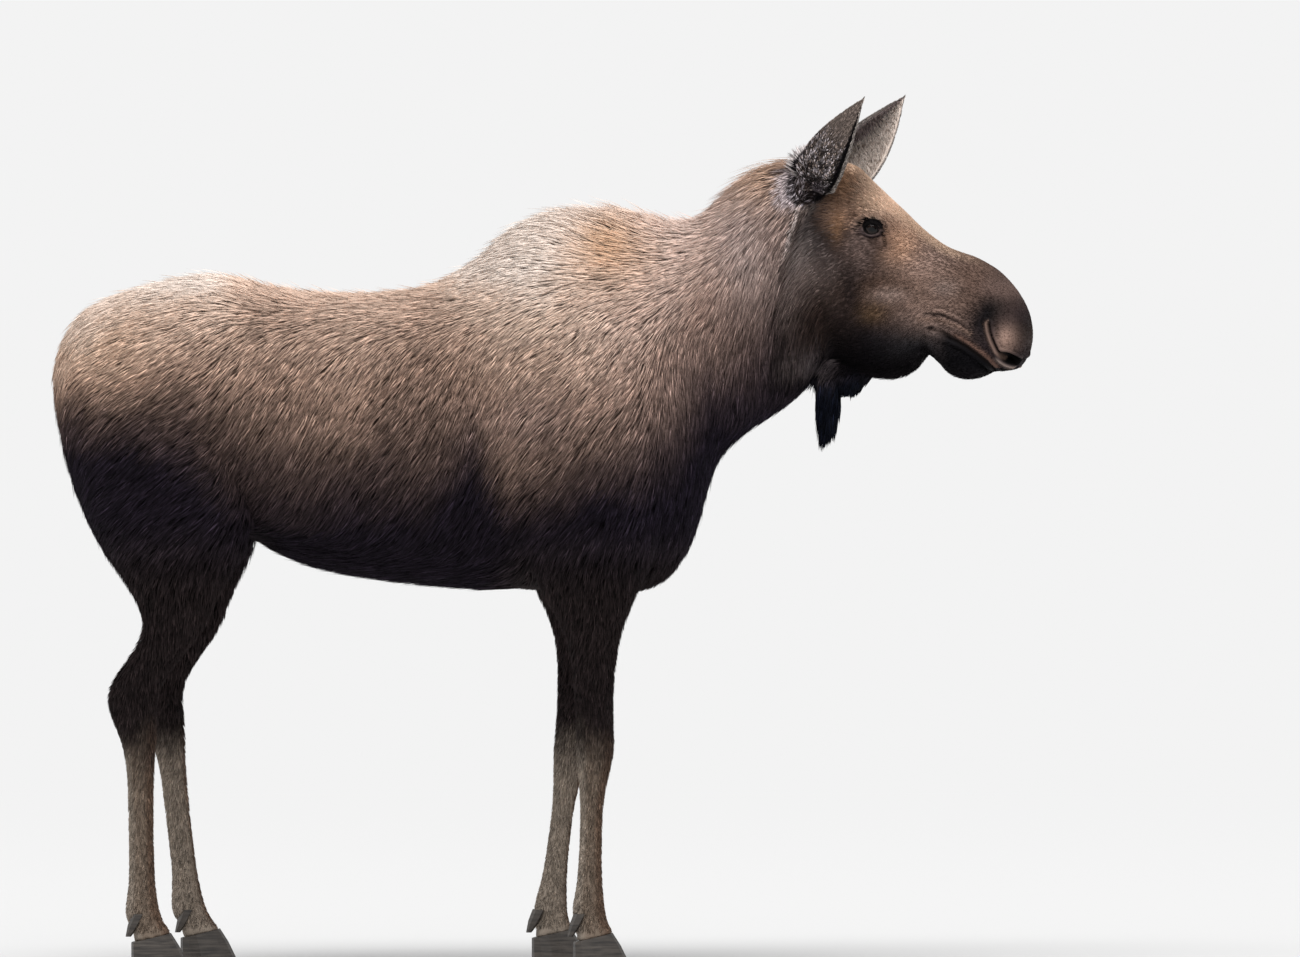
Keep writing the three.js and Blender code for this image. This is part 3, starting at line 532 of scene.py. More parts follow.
def ear_points(side, t, angle, inset):
    """Points of the ear at shares t of its length; angle -90 degrees is the middle of its back."""
    axis, opening, across, root = ear_frame(side)
    leaf = np.maximum(ear_leaf(t) - inset, 0.5)
    curve = np.sin(np.clip(t, 0, 1) * np.pi)
    sideways = EAR_SWEEP * curve + np.cos(angle) * leaf
    deep = EAR_ROUNDNESS * np.sin(angle) * leaf - EAR_BOW * curve
    return root + axis * t[..., None] + across * sideways[..., None] + opening * deep[..., None]


def ear_base(side):
    """The part of the ear that grows out of the head's own skin."""
    t, angle = grid(np.linspace(-0.12, 0.16, 8), circle(24))
    return tube(ear_points(side, t, angle, 9.0))


def flesh():
    shapes = [
        loft(TRUNK, 220, 120, TRUNK_FORMS, trunk_depth),
        loft(HEAD, 160, 110, HEAD_FORMS, head_depth),
        loft(CHIN, 60, 50, (), DEPTH_CHIN),
        loft(TAIL, 30, 24, (), DEPTH_TAIL),
        loft(BELL_FLAP, 30, 30, (), DEPTH_BELL),
        loft(BELL_TUFT, 40, 24, (), DEPTH_BELL),
    ]
    for side in SIDES.values():
        shapes += [loft(leg_stations("foreleg", side), 140, 40, (), leg_depth)]
        shapes += [loft(leg_stations("hindleg", side), 160, 40, (), leg_depth)]
        shapes += [ball(EYE * [1, side, 1], SOCKET_RADIUS), ear_base(side)]
    return shapes


def thinned(mesh):
    """Fewer faces on the body, where the coat hides them, and as many as before on the head and the feet."""
    verts, _ = arrays(mesh)
    body = (verts[:, 0] < BODY_ENDS[0]) & (verts[:, 2] > BODY_ENDS[1])

    def setup(obj, modifier):
        group = obj.vertex_groups.new(name="body")
        group.add(np.nonzero(body)[0].tolist(), 1.0, "REPLACE")
        modifier.ratio = (len(verts) - body.sum() + BODY_VERTS) / len(verts)
        modifier.vertex_group = "body"

    return with_modifier(mesh, "DECIMATE", setup)


def refined(mesh, chosen):
    """Cuts each chosen triangle's edges in two."""
    made = bmesh.new()
    made.from_mesh(mesh)
    bmesh.ops.triangulate(made, faces=made.faces)
    made.verts.ensure_lookup_table()
    inside = chosen(np.array([v.co for v in made.verts]))
    edges = [e for e in made.edges if inside[e.verts[0].index] and inside[e.verts[1].index]]
    bmesh.ops.subdivide_edges(made, edges=edges, cuts=1, use_grid_fill=True)
    bmesh.ops.triangulate(made, faces=made.faces)
    made.to_mesh(mesh)
    made.free()
    return mesh


def near_features(p):
    """The eyes, and the muzzle from the corners of the mouth forward."""
    x, y, z = on_left(p).T
    muzzle = (x > MUZZLE["rear"]) & (z < MUZZLE["high"]) & (z > MUZZLE["low"]) & (y > MUZZLE["inner"])
    return (np.linalg.norm(on_left(p) - EYE, axis=1) < EYE_AREA) | muzzle


def close_features(p):
    """The lids and the nostrils."""
    x, y, _ = on_left(p).T
    slit, _ = away_from(NOSTRIL_SLIT, p)
    nostril = (slit < NOSTRIL_AREA["slit"]) | (nostril_ring(p) < NOSTRIL_AREA["ring"])
    nostril &= (y > NOSTRIL_AREA["inner"]) & (x > NOSTRIL_AREA["rear"])
    return nostril | (np.linalg.norm(on_left(p) - EYE, axis=1) < LID_AREA)


def push_mouth(push, p):
    """The groove of the mouth between its lips, and the folds beside its corner."""
    gap, along = away_from(MOUTH, p)
    head_only = smooth(900, 940, p[:, 0])
    push -= head_only * 8.0 * near(gap, 4.0) * (0.35 + 0.65 * smooth(0, 0.3, along))
    push += head_only * 2.6 * near(gap - 11, 5.0) * (p[:, 2] > 1400)
    for shift, deep, wide in FOLDS:
        gap, along = away_from(MOUTH_FOLD + shift, p)
        push -= deep * near(gap, wide) * np.sin(np.clip(along, 0.05, 0.95) * np.pi)


def push_nostrils(push, p, n):
    """The slit over the nostril with its raised edge, and the nostril's hole with its rim."""
    outer = np.abs(n[:, 1]) * (np.abs(p[:, 1]) > 20)
    gap, along = away_from(NOSTRIL_SLIT, p)
    push -= outer * (5 + 9 * along) * near(gap, 2.6)
    push += outer * 3.2 * near(gap - 8, 4.5)
    ring = nostril_ring(p)
    beside = smooth(18, 28, np.abs(p[:, 1]))
    push -= beside * 24 * smooth(1.1, 0.7, ring)
    push += beside * 3.0 * near(ring - 1.35, 0.25)


def shape_lids(verts, side):
    """Draws the skin round one eye to the lids, the crease over them and the folds of the brow."""
    centre = EYE * [1, side, 1]
    d = verts - centre
    close = (np.linalg.norm(d, axis=1) < EYE_AREA) & (d[:, 1] * side > -6)
    d = d[close]
    gap, _, v = lid_distance(d)
    reach = np.linalg.norm(d, axis=1)
    radius = np.interp(gap, *LID_RADIUS)
    radius += smooth(-4, 8, v) * np.interp(gap, *UPPER_LID)
    wanted = reach + (radius - reach) * smooth(22, 12, gap)
    for at, deep in BROW_FOLDS:
        wanted -= deep * near(gap - at, 2.4) * smooth(2, 16, v)
    verts[close] = centre + d / reach[:, None] * wanted[:, None]


def sculpt(verts, normals):
    """The mouth, the nostrils, the lids, the tear line and the folds round them."""
    push = np.zeros(len(verts))
    push_mouth(push, verts)
    push_nostrils(push, verts, normals)
    verts = verts + normals * push[:, None]
    for side in SIDES.values():
        shape_lids(verts, side)
    gap, along = away_from(TEAR_LINE, verts)
    tear = 4.5 * near(gap, 2.6) * (1 - 0.5 * along)
    return verts - normals * (tear * (np.abs(verts[:, 1]) > 60))[:, None]


def build_skin():
    mesh = thinned(union(flesh(), SKIN_VOXEL))
    mesh = refined(refined(mesh, near_features), close_features)
    verts, tris = arrays(mesh)
    body, head, rounds = EVENING["before"]
    verts = relaxed(verts, tris, np.where(verts[:, 0] < BODY_ENDS[0], body, head), rounds)
    verts = sculpt(verts, vertex_normals(verts, tris))
    body, head, rounds = EVENING["after"]
    return relaxed(verts, tris, np.where(verts[:, 0] > FACE_START, head, body), rounds), tris


# ---------- markings, the same for skin and coat ----------
# Heights at which the coat reaches four tones, from the dark of the belly to the palest of the back:
# x, then the heights of dark, brown, tan and pale.
TONE_HEIGHTS = np.array([
    [-1160, 1275, 1395, 1445, 1550], [-1106, 1272, 1392, 1448, 1560], [-1037, 1262, 1366, 1443, 1540],
    [-965, 1258, 1352, 1470, 1600], [-894, 1240, 1358, 1483, 1610], [-823, 1180, 1370, 1525, 1610],
    [-727, 1065, 1330, 1512, 1620], [-632, 1060, 1300, 1540, 1790], [-537, 1050, 1295, 1520, 1800],
    [-442, 1080, 1270, 1500, 1790], [-347, 1075, 1330, 1515, 1790], [-251, 1095, 1330, 1575, 1720],
    [-156, 1190, 1370, 1530, 1660], [-61, 1065, 1220, 1500, 1670], [33, 1055, 1250, 1500, 1670],
    [128, 1130, 1262, 1450, 1760], [224, 1140, 1290, 1490, 1880], [319, 1150, 1400, 1570, 1950],
    [414, 1310, 1510, 1680, 2000], [485, 1315, 1560, 1790, 2000], [550, 1325, 1620, 1880, 2050],
    [613, 1330, 1655, 1960, 2100], [650, 1330, 1680, 2000, 2150]])
TONE_LEVELS = [0, 0.5, 1, 1.5, 2, 2.5, 3]
TONES = np.array([
    (30, 26, 32), (60, 50, 49), (100, 83, 75), (138, 115, 102), (170, 146, 131), (204, 181, 165),
    (234, 219, 208)])
# The neck's coat is paler and greyer than the body's, and paler still low on it.
NECK_TINT = np.array([0.08, 0.11, 0.2])
LOW_NECK_TINT = 0.22
# Patches: x, z, reach along each, colour as the eye sees it, strength.
BODY_PATCHES = [
    (-1030, 1520, 130, 90, (192, 158, 132), 0.5), (190, 1712, 100, 80, (174, 139, 108), 0.85),
    (-12, 1349, 110, 70, (123, 106, 102), 0.4), (580, 1885, 90, 45, (150, 118, 88), 0.6),
    (430, 1850, 120, 40, (150, 126, 108), 0.6), (520, 1740, 90, 110, (158, 142, 134), 0.6),
]
HEAD_PATCHES = [
    (956, 1617, 86, 98, (201, 169, 155), 0.92), (1051, 1636, 110, 110, (94, 75, 66), 0.92),
    (888, 1724, 40, 49, (184, 146, 122), 0.92), (858, 1828, 80, 55, (240, 202, 176), 0.92),
    (744, 1859, 30, 83, (160, 124, 98), 0.9), (640, 1827, 50, 23, (150, 140, 134), 0.8),
    (655, 1719, 38, 64, (150, 138, 134), 0.9), (674, 1629, 74, 75, (175, 155, 148), 0.92),
    (687, 1574, 81, 92, (50, 38, 35), 0.92), (860, 1614, 110, 44, (91, 69, 56), 0.92),
    (919, 1480, 106, 49, (45, 45, 48), 0.92), (850, 1724, 27, 18, (70, 58, 56), 0.8),
    (787, 1707, 32, 48, (142, 120, 112), 0.9), (1086, 1537, 30, 39, (22, 21, 26), 0.92),
    (1110, 1575, 42, 46, (26, 22, 22), 0.9), (1183, 1521, 22, 30, (24, 20, 21), 0.92),
    (1148, 1501, 22, 31, (148, 122, 110), 0.92), (868, 1606, 45, 20, (158, 136, 127), 0.9),
    (778, 1609, 26, 110, (54, 45, 44), 0.9), (757, 1800, 39, 34, (185, 150, 130), 0.9),
    (640, 1479, 70, 37, (94, 84, 82), 0.9), (993, 1620, 31, 20, (139, 120, 112), 0.9),
    (1143, 1623, 70, 20, (108, 88, 81), 0.9), (715, 1516, 55, 42, (52, 42, 38), 0.8),
    (688, 1470, 46, 34, (104, 95, 97), 0.9), (830, 1564, 36, 26, (108, 85, 64), 0.7),
    # The near-black patch at x 1098, z 1560, over the nostril's slit, is painted shade.
    (634, 1762, 15, 50, (124, 114, 110), 0.7), (1098, 1560, 18, 26, (14, 12, 15), 0.85),
    (747, 1775, 16, 40, (172, 130, 96), 0.6), (792, 1820, 20, 26, (204, 168, 144), 0.6),
    (862, 1752, 20, 30, (120, 90, 72), 0.6),
]
LEG_TONES = {"dark": (42, 36, 36), "shank": (120, 106, 94), "front": (100, 82, 70), "back": (150, 138, 126)}
FACE_GROUND = (30, 26, 32)
# More lines of the side view: the whorl of hair over the eye, the ridge of hair behind the cheek, and the
# foot of the ear, with the reach of the black hair round it.
WHORL = np.array([[770, 1849], [768, 1820], [781, 1798], [797, 1787]])
COLLAR = np.array([[606, 1660], [614, 1700], [628, 1759], [636, 1800], [636, 1850]])
EAR_FOOT = np.array([[642.0, 1908.0], [636.0, 1880.0], [636.0, 1856.0], [654.0, 1848.0]])
EAR_FOOT_REACH = 27.0


def tone(r, g, b):
    """A colour as the eye sees it, 0 to 255, as light."""
    return (np.array([r, g, b]) / 255.0) ** 2.2


def spot(p, x, z, rx, rz):
    return np.exp(-(((p[:, 0] - x) / rx) ** 2 + ((p[:, 2] - z) / rz) ** 2))


def mixed(colour, other, share):
    return colour + (other - colour) * np.clip(share, 0, 1)[:, None]


def plain(p, shade):
    return np.tile(tone(*shade), (len(p), 1))


def layered(colour, layers):
    """A colour with others laid over it, each a shade and its share of the new colour."""
    for shade, share in layers:
        colour = mixed(colour, tone(*shade), share)
    return colour


def patches(p, rows):
    return [(shade, spot(p, x, z, rx, rz) * strength) for x, z, rx, rz, shade, strength in rows]


def body_colour(p):
    heights = [np.interp(p[:, 0], TONE_HEIGHTS[:, 0], TONE_HEIGHTS[:, i]) for i in range(1, 5)]
    z = p[:, 2] + 26 * noise(p, 150, 3) + 16 * noise(p, 50, 4)
    level = sum(np.clip((z - a) / (b - a), 0, 1) for a, b in zip(heights[:-1], heights[1:]))
    seen = np.stack([np.interp(level, TONE_LEVELS, TONES[:, c]) for c in range(3)], -1)
    neck = smooth(0, 400, p[:, 0])[:, None]
    low_neck = LOW_NECK_TINT * smooth(330, 450, p[:, 0]) * smooth(1810, 1710, p[:, 2])
    return layered((seen / 255) ** 2.2, patches(p, BODY_PATCHES)) * (1 + neck * NECK_TINT + low_neck[:, None])


def leg_colour(p, n):
    """Dark above, and grey-brown shanks that are palest behind and inside."""
    shank = layered(plain(p, LEG_TONES["shank"]), [
        (LEG_TONES["front"], smooth(0.1, 0.7, n[:, 0])),
        (LEG_TONES["back"], smooth(-0.2, -0.8, n[:, 0])),
        (LEG_TONES["back"], smooth(-0.2, -0.8, n[:, 1] * np.sign(p[:, 1])) * 0.7),
    ])
    return mixed(plain(p, LEG_TONES["dark"]), shank, smooth(620, 430, p[:, 2] + 40 * noise(p, 60, 5)))


def below_bridge(p):
    """How far below the line from the brow to the nose points of the head's side lie."""
    return (868 - p[:, 0]) * 0.57 + (1806 - p[:, 2]) * 0.82


def mouth_layers(p):
    """The fold beside the mouth's corner with painted shade along it, pale under it, the chin, the upper lip
    with a painted highlight along it, and the mouth's line.
    """
    x, z = p[:, 0], p[:, 2]
    fold, along_fold = away_from(MOUTH_FOLD, p)
    under_fold, _ = away_from(MOUTH_FOLD + [5, -11], p)
    lip, along = away_from(MOUTH, p)
    chin = (z < np.interp(x, MOUTH[:, 0], MOUTH[:, 1])) & (x > 945)
    return [
        ((132, 108, 96), near(under_fold, 6) * 0.6),
        # Painted shade along the fold.
        ((40, 31, 30), near(fold, 3.2) * np.sin(along_fold * np.pi) * 0.8),
        ((12, 11, 15), chin * smooth(950, 1000, x) * 0.95),
        # The upper lip's own tan, made lighter along the mouth by a painted highlight.
        ((104, 80, 70), near(lip - 12, 8) * ~chin * smooth(990, 1040, x) * 0.8),
        ((22, 17, 16), near(lip, 4) * smooth(0.1, 0.4, along)),
    ]


def nostril_layers(p):
    """The pale rim under the nostril, its hole and its slit painted dark as shade, and a pale line behind the
    slit.
    """
    ring = nostril_ring(p)
    slit, _ = away_from(NOSTRIL_SLIT, p)
    outer = np.abs(p[:, 1]) > 18
    behind = p[:, 0] < np.interp(-p[:, 2], -NOSTRIL_SLIT[:, 1], NOSTRIL_SLIT[:, 0])
    return [
        ((150, 132, 124), near(ring - 1.5, 0.3) * smooth(1462, 1446, p[:, 2]) * outer * 0.8),
        # Painted shade in the nostril's hole and in its slit.
        ((8, 6, 7), smooth(1.15, 0.9, ring) * outer),
        ((20, 15, 15), smooth(3.5, 1.5, slit) * outer),
        ((134, 110, 98), near(slit - 7, 4) * outer * behind * 0.45),
    ]


def head_colour(p, n):
    """The patches of the face, then its pale ridge with painted light, its nose, its underside with painted
    shade, the whorl and the muzzle.
    """
    x, y, z = p.T
    ridge = smooth(0.55, 0.95, n[:, 2]) * smooth(60, 15, below_bridge(p))
    under_jaw = smooth(1470, 1400, z) * smooth(1000, 940, x) * smooth(700, 790, x)
    whorl, _ = away_from(WHORL, p)
    return layered(plain(p, FACE_GROUND), [
        *patches(p, HEAD_PATCHES),
        # Paler where the ridge faces up: partly the face's own tan and partly painted light from above.
        ((200, 170, 146), ridge * smooth(1110, 900, x)),
        ((78, 66, 62), smooth(1060, 1150, x) * smooth(1560, 1640, z) * 0.6),
        # Darker where the head faces down: partly its dark underside hair and partly painted shade.
        ((20, 17, 20), smooth(-0.25, -0.75, n[:, 2]) * smooth(1040, 960, x)),
        ((18, 15, 18), under_jaw * 0.9),
        ((92, 64, 46), near(whorl, 3.5) * smooth(60, 80, np.abs(y)) * 0.6),
        *mouth_layers(p),
        *nostril_layers(p),
    ])


def eye_layers(p):
    """Brown round the eye, the folds, the painted shadow that the brow and the lashes cast over the upper
    lid, the lower lid's lines, the lids' edge and the tear.
    """
    reach, gap, u, v = round_eye(p)
    close = reach < 60
    gap = np.where(close, gap, 99.0)
    above = smooth(-3, 5, v)
    brow_shadow = np.where(close, np.hypot((u - 2) / 27, (v - 5) / 21), 9.0)
    tear, _ = away_from(TEAR_LINE, p)
    return [
        ((70, 58, 56), near(gap, 17) * 0.8),
        *(((96, 72, 58), near(gap - at, 2.6) * smooth(2, 16, v) * 0.5) for at, _ in BROW_FOLDS),
        # Painted shadow of the brow and the lashes over the upper lid.
        ((13, 9, 10), smooth(1.06, 0.94, brow_shadow) * above),
        ((32, 22, 25), near(gap - 8, 2.4) * (1 - above) * 0.9),
        ((92, 80, 80), near(gap - 4.2, 1.5) * (1 - above) * 0.8),
        ((12, 9, 10), smooth(2.8, 1.4, gap)),
        ((14, 11, 12), near(tear, 4.0) * close),
    ]


def legness(p):
    """From 0 on the trunk to 1 on the legs."""
    x, z = p[:, 0], p[:, 2]
    beside = 1 - smooth(-640, -560, x) * smooth(-20, -110, x)
    return np.maximum(smooth(1120, 900, z) * beside, smooth(890, 850, z))


def headness(p):
    """From 0 on the neck to 1 on the head, by colour."""
    seam = 612 + 0.25 * (p[:, 2] - 1700)
    return smooth(seam - 40, seam + 50, p[:, 0]) * smooth(1360, 1440, p[:, 2])


def faceness(p):
    """From 0 where the hair is the neck's to 1 where it is short."""
    seam = 660 + 0.25 * (p[:, 2] - 1700) + 120 * smooth(1700, 1480, p[:, 2])
    return smooth(seam - 70, seam + 70, p[:, 0]) * smooth(1360, 1440, p[:, 2])


def bellness(p):
    """1 on the bell under the throat."""
    x, z = p[:, 0], p[:, 2]
    return smooth(1440, 1405, z) * smooth(640, 656, x) * smooth(806, 788, x)


def collar_gap(p):
    """How far in front of the ridge of hair behind the cheek points lie."""
    return p[:, 0] - np.interp(p[:, 2], COLLAR[:, 1], COLLAR[:, 0])


def foot_ring(p):
    """1 at the edge of the black hair behind the ear's foot, more outside it."""
    return np.where(np.abs(p[:, 1]) > 20, away_from(EAR_FOOT, p)[0] / EAR_FOOT_REACH, 9.0)


def marking(p, n):
    """The colour of skin and coat, with the grey collar, the black bell and the ear's foot over the rest."""
    x, z = p[:, 0], p[:, 2]
    colour = mixed(body_colour(p), leg_colour(p, n), legness(p))
    collar = near(collar_gap(p), 5) * smooth(1680, 1760, z)
    ring = foot_ring(p)
    fluffy = smooth(2.3, 1.8, ring) * smooth(645, 625, x) * smooth(1798, 1832, z)
    return layered(mixed(colour, head_colour(p, n), headness(p)), [
        ((176, 164, 160), collar * smooth(1870, 1840, z) * 0.8),
        ((14, 16, 23), bellness(p)),
        ((170, 160, 163), fluffy * 0.85),
        ((16, 13, 15), smooth(1.2, 0.9, ring) * 0.95),
        ((150, 142, 147), smooth(1.3, 1.0, ring) * smooth(0.15, 0.35, noise(p, 4, 14)) * 0.8),
        *eye_layers(p),
    ])


# ---------- how the hair lies ----------
# How steeply the trunk's and neck's hair runs down and back, in degrees: x, then the slants at these heights.
SLANT_HEIGHTS = [1250, 1400, 1500, 1560, 1620, 1690, 1754, 1826]
TRUNK_SLANTS = np.array([
    [-1110, 62, 45, 25, 10, 15, 15, 15, 15], [-1010, 44, 40, 25, 10, 12, 12, 12, 12],
    [-915, 42, 38, 30, 28, 20, 15, 15, 15], [-820, 35, 38, 40, 32, 20, 15, 15, 15],
    [-725, 50, 53, 47, 30, 18, 15, 15, 15], [-535, 55, 62, 56, 33, 10, 8, 8, 8],
    [-345, 52, 58, 57, 30, 10, 8, 8, 8], [-155, 62, 66, 60, 32, 20, 12, 5, 5],
    [-60, 55, 56, 56, 44, 29, 18, -8, -10], [36, 48, 45, 46, 39, 29, -2, -26, -30],
    [131, 55, 50, 52, 45, 20, -14, -41, -48], [226, 62, 59, 53, 37, 22, 0, -30, -40],
    [321, 75, 90, 77, 53, 38, 20, -2, 3], [416, 75, 70, 69, 58, 60, 38, 22, 20],
    [512, 85, 88, 80, 77, 74, 74, 60, 40], [607, 80, 85, 88, 80, 72, 68, 66, 58],
    [700, 88, 88, 80, 72, 66, 66, 66, 62]])
HEAD_SLANT = ([0, 40, 80, 150, 210, 290, 350], [38, 22, 5, -15, -30, -18, -8])
# On the legs it runs almost straight down, and less steeply over the back and under the belly.
LEG_SLANT = math.radians(84)
BEHIND_TAIL = (-1080, -1130)


def table(rows, heights, x, z):
    """Values at x and z from rows that each hold an x and then the values at the heights."""
    level = np.interp(z, heights, np.arange(len(heights)))
    below = np.minimum(level.astype(int), len(heights) - 2)
    columns = np.stack([np.interp(x, rows[:, 0], rows[:, i + 1]) for i in range(len(heights))])
    across = np.arange(len(x))
    low, high = columns[below, across], columns[below + 1, across]
    return low + (high - low) * (level - below)


def trunk_flow(p, n):
    """Down and back, parted a little over the spine."""
    slant = np.radians(table(TRUNK_SLANTS, SLANT_HEIGHTS, p[:, 0], p[:, 2]))
    slant = slant * (1 - 0.7 * smooth(0.5, 0.95, n[:, 2])) * (1 - 0.8 * smooth(-0.4, -0.9, n[:, 2]))
    slant = slant + (LEG_SLANT - slant) * legness(p)
    sideways = np.clip(p[:, 1] / 90, -1, 1) * 0.35 * smooth(0.6, 0.98, n[:, 2])
    return np.stack([-np.cos(slant), sideways, -np.sin(slant)], -1)


def hair_flow(p, n):
    """The way the hair points, before it is laid against the skin."""
    body = trunk_flow(p, n)
    lift = np.radians(np.interp(below_bridge(p), *HEAD_SLANT))
    face = np.stack([-np.cos(lift), np.clip(p[:, 1] / 30, -1, 1) * 0.12, np.sin(lift)], -1)
    flow = body + (face - body) * faceness(p)[:, None]
    bell = bellness(p)
    backwards = -0.1 - 0.4 * bell * smooth(730, 780, p[:, 0])
    down = np.stack([backwards, np.zeros(len(p)), np.full(len(p), -1.0)], -1)
    return flow + (down - flow) * np.maximum(bell, smooth(*BEHIND_TAIL, p[:, 0]) * 0.7)[:, None]


# ---------- tufts ----------
# The corners of a short tuft are its root, left, right and tip; a long one has a ridge between right and tip.
# Both are closed, and their faces have places within the tuft's own patch of the unwrap.
SHORT_TUFT = {
    "faces": np.array([[0, 3, 1], [0, 2, 3], [0, 1, 2], [3, 2, 1]], np.int32),
    "uv": np.array([
        [[0, 0.25], [1, 0.25], [0.5, 0.5]], [[0, 0.25], [0.5, 0], [1, 0.25]],
        [[0, 0.75], [0.5, 1], [0.5, 0.5]], [[1, 0.75], [0.5, 0.5], [0.5, 1]]]),
}
LONG_TUFT = {
    "faces": np.array([[0, 2, 3], [0, 3, 1], [4, 1, 3], [4, 3, 2], [0, 1, 2], [4, 2, 1]], np.int32),
    "uv": np.array([
        [[0, 0.25], [0.5, 0.5], [0.5, 0.25]], [[0, 0.25], [0.5, 0.25], [0.5, 0]],
        [[1, 0.25], [0.5, 0], [0.5, 0.25]], [[1, 0.25], [0.5, 0.25], [0.5, 0.5]],
        [[0, 0.75], [0.5, 0.5], [0.5, 1]], [[1, 0.75], [0.5, 1], [0.5, 0.5]]]),
}
PATCH = 0.003
COAT_TRIANGLES = 198_000
BRIGHTEST = 0.85
# How strongly tufts differ from their neighbours, for coats from dark to pale.
CONTRAST = ([0.01, 0.06, 0.25, 0.5, 0.75], [1.6, 1.35, 1.1, 0.8, 0.45])
# How much tufts differ in size, and how far they are turned from their neighbours, in degrees.
LENGTH_SPREAD = (0.75, 1.2)
LIFT_SPREAD = (0.7, 1.2)
SWING = {"each": 5, "broad": 6, "fine": 5}
ROLL = math.radians(22)
# The light on a tuft's sides, as a share of its root's and what is added, and on the ridge of a long one.
EDGE = (0.4, 0.72)
RIDGE = 1.2


def tuft_mesh(name, shape, corners, colours, places):
    """One mesh of many tufts; places are their roots' on the unwrap."""
    count, sides = corners.shape[:2]
    faces = (shape["faces"][None] + sides * np.arange(count, dtype=np.int32)[:, None, None]).reshape(-1, 3)
    mesh = new_mesh(name, placed(corners.reshape(-1, 3)), faces)
    paint(mesh, colours.reshape(-1, 3))
    low, high = places.min(0), places.max(0)
    spread = 0.01 + 0.97 * (places - low) / np.maximum(high - low, 1e-6)
    uv = spread[:, None, None, :] + (shape["uv"][None] - 0.5) * PATCH
    layer = mesh.uv_layers.new(name="OFBake")
    layer.data.foreach_set("uv", uv.astype(np.float32).ravel())
    return mesh


def laid(tree, points, lift):
    """Points brought to a height above the skin, with the skin's normal and its own point under each."""
    found = [tree.find_nearest(Vector(p)) for p in points]
    ground = np.array([f[0] for f in found])
    normal = np.array([f[1] for f in found])
    return ground + normal * lift[:, None], normal, ground


def clumped(roots, per_clump):
    """For each root, the way to the middle of its clump, and a number that the clump's roots share."""
    chosen = np.nonzero(rng.random(len(roots)) < 1 / per_clump)[0]
    tree = kdtree.KDTree(len(chosen))
    for i, at in enumerate(roots[chosen]):
        tree.insert(Vector(at), i)
    tree.balance()
    nearest = np.array([tree.find(Vector(at))[1] for at in roots])
    shade = rng.normal(0, 1, len(chosen))[nearest]
    return roots[chosen][nearest] - roots, shade


def surface(verts, tris):
    """A skin with all that a coat needs to grow on it."""
    a, b, c = (verts[tris[:, i]] for i in range(3))
    cross = np.cross(b - a, c - a)
    return {
        "verts": verts, "tris": tris, "normals": vertex_normals(verts, tris), "centres": (a + b + c) / 3,
        "face_normals": unit(cross), "area": np.linalg.norm(cross, axis=1) / 2,
        "tree": BVHTree.FromPolygons([Vector(v) for v in verts], tris.tolist()),
    }


def scattered(skin, weight, count):
    """Random places on the skin, the more on a triangle the more it weighs."""
    total = np.cumsum(weight)
    corners = skin["tris"][np.searchsorted(total, rng.random(count) * total[-1])]
    a, b = rng.random((2, count))
    a, b = np.where(a + b > 1, 1 - a, a), np.where(a + b > 1, 1 - b, b)
    share = np.stack([1 - a - b, a, b], -1)[..., None]
    return (skin["verts"][corners] * share).sum(1), unit((skin["normals"][corners] * share).sum(1))


def rooted(skin, chosen, hair_of, most):
    """Roots on the chosen triangles, the normals there and the hair's measures, without the bare places."""
    weight = skin["area"] * hair_of(skin["centres"], skin["face_normals"])["density"] * chosen
    roots, normals = scattered(skin, weight, min(int(weight.sum()), most))
    hair = hair_of(roots, normals)
    kept = hair["density"] > 0
    return roots[kept], normals[kept], {key: value[kept] for key, value in hair.items()}


def across_tuft(up, root, tip):
    """The way across each tuft and the way out of its face, turned a little at random."""
    along = unit(tip - root)
    across = turned_about(unit(np.cross(up, along)), along, rng.normal(0, ROLL, len(root)))
    return across, unit(np.cross(along, across))


def short_tufts(skin, roots, bed, flow, ahead, towards, step, lift, half, loose):
    """Corners of tufts of one part, some of them loose from the skin."""
    tip, up, _ = laid(skin["tree"], roots + ahead * step * 2 + towards, lift)
    tip += (roots + unit(flow) * step * 2 - tip) * loose[:, None]
    across, rise = across_tuft(up, roots, tip)
    middle = (bed + tip) / 2 - rise * half * 0.6
    return np.stack([bed, middle + across * half, middle - across * half, tip], 1)


def long_tufts(skin, roots, bed, ahead, towards, step, lift, half):
    """Corners of tufts with a bend, which follow the skin."""
    middle, up, ground = laid(skin["tree"], roots + ahead * step + towards * 0.8, lift * 0.7)
    tip, _, _ = laid(skin["tree"], ground + flat_on(ahead, up) * step + towards, lift)
    return bent_tufts(roots, bed, middle, tip, up, half)


def hanging_tufts(roots, normals, bed, flow, towards, step, half):
    """Corners of tufts with a bend, which hang free."""
    middle = roots + unit(flow + normals * 0.12) * step + towards * 0.7
    return bent_tufts(roots, bed, middle, middle + unit(flow) * step + towards, normals, half)


def bent_tufts(roots, bed, middle, tip, up, half):
    across, rise = across_tuft(up, roots, tip)
    return np.stack([bed, middle + across * half, middle - across * half, middle + rise * half * 0.7, tip], 1)


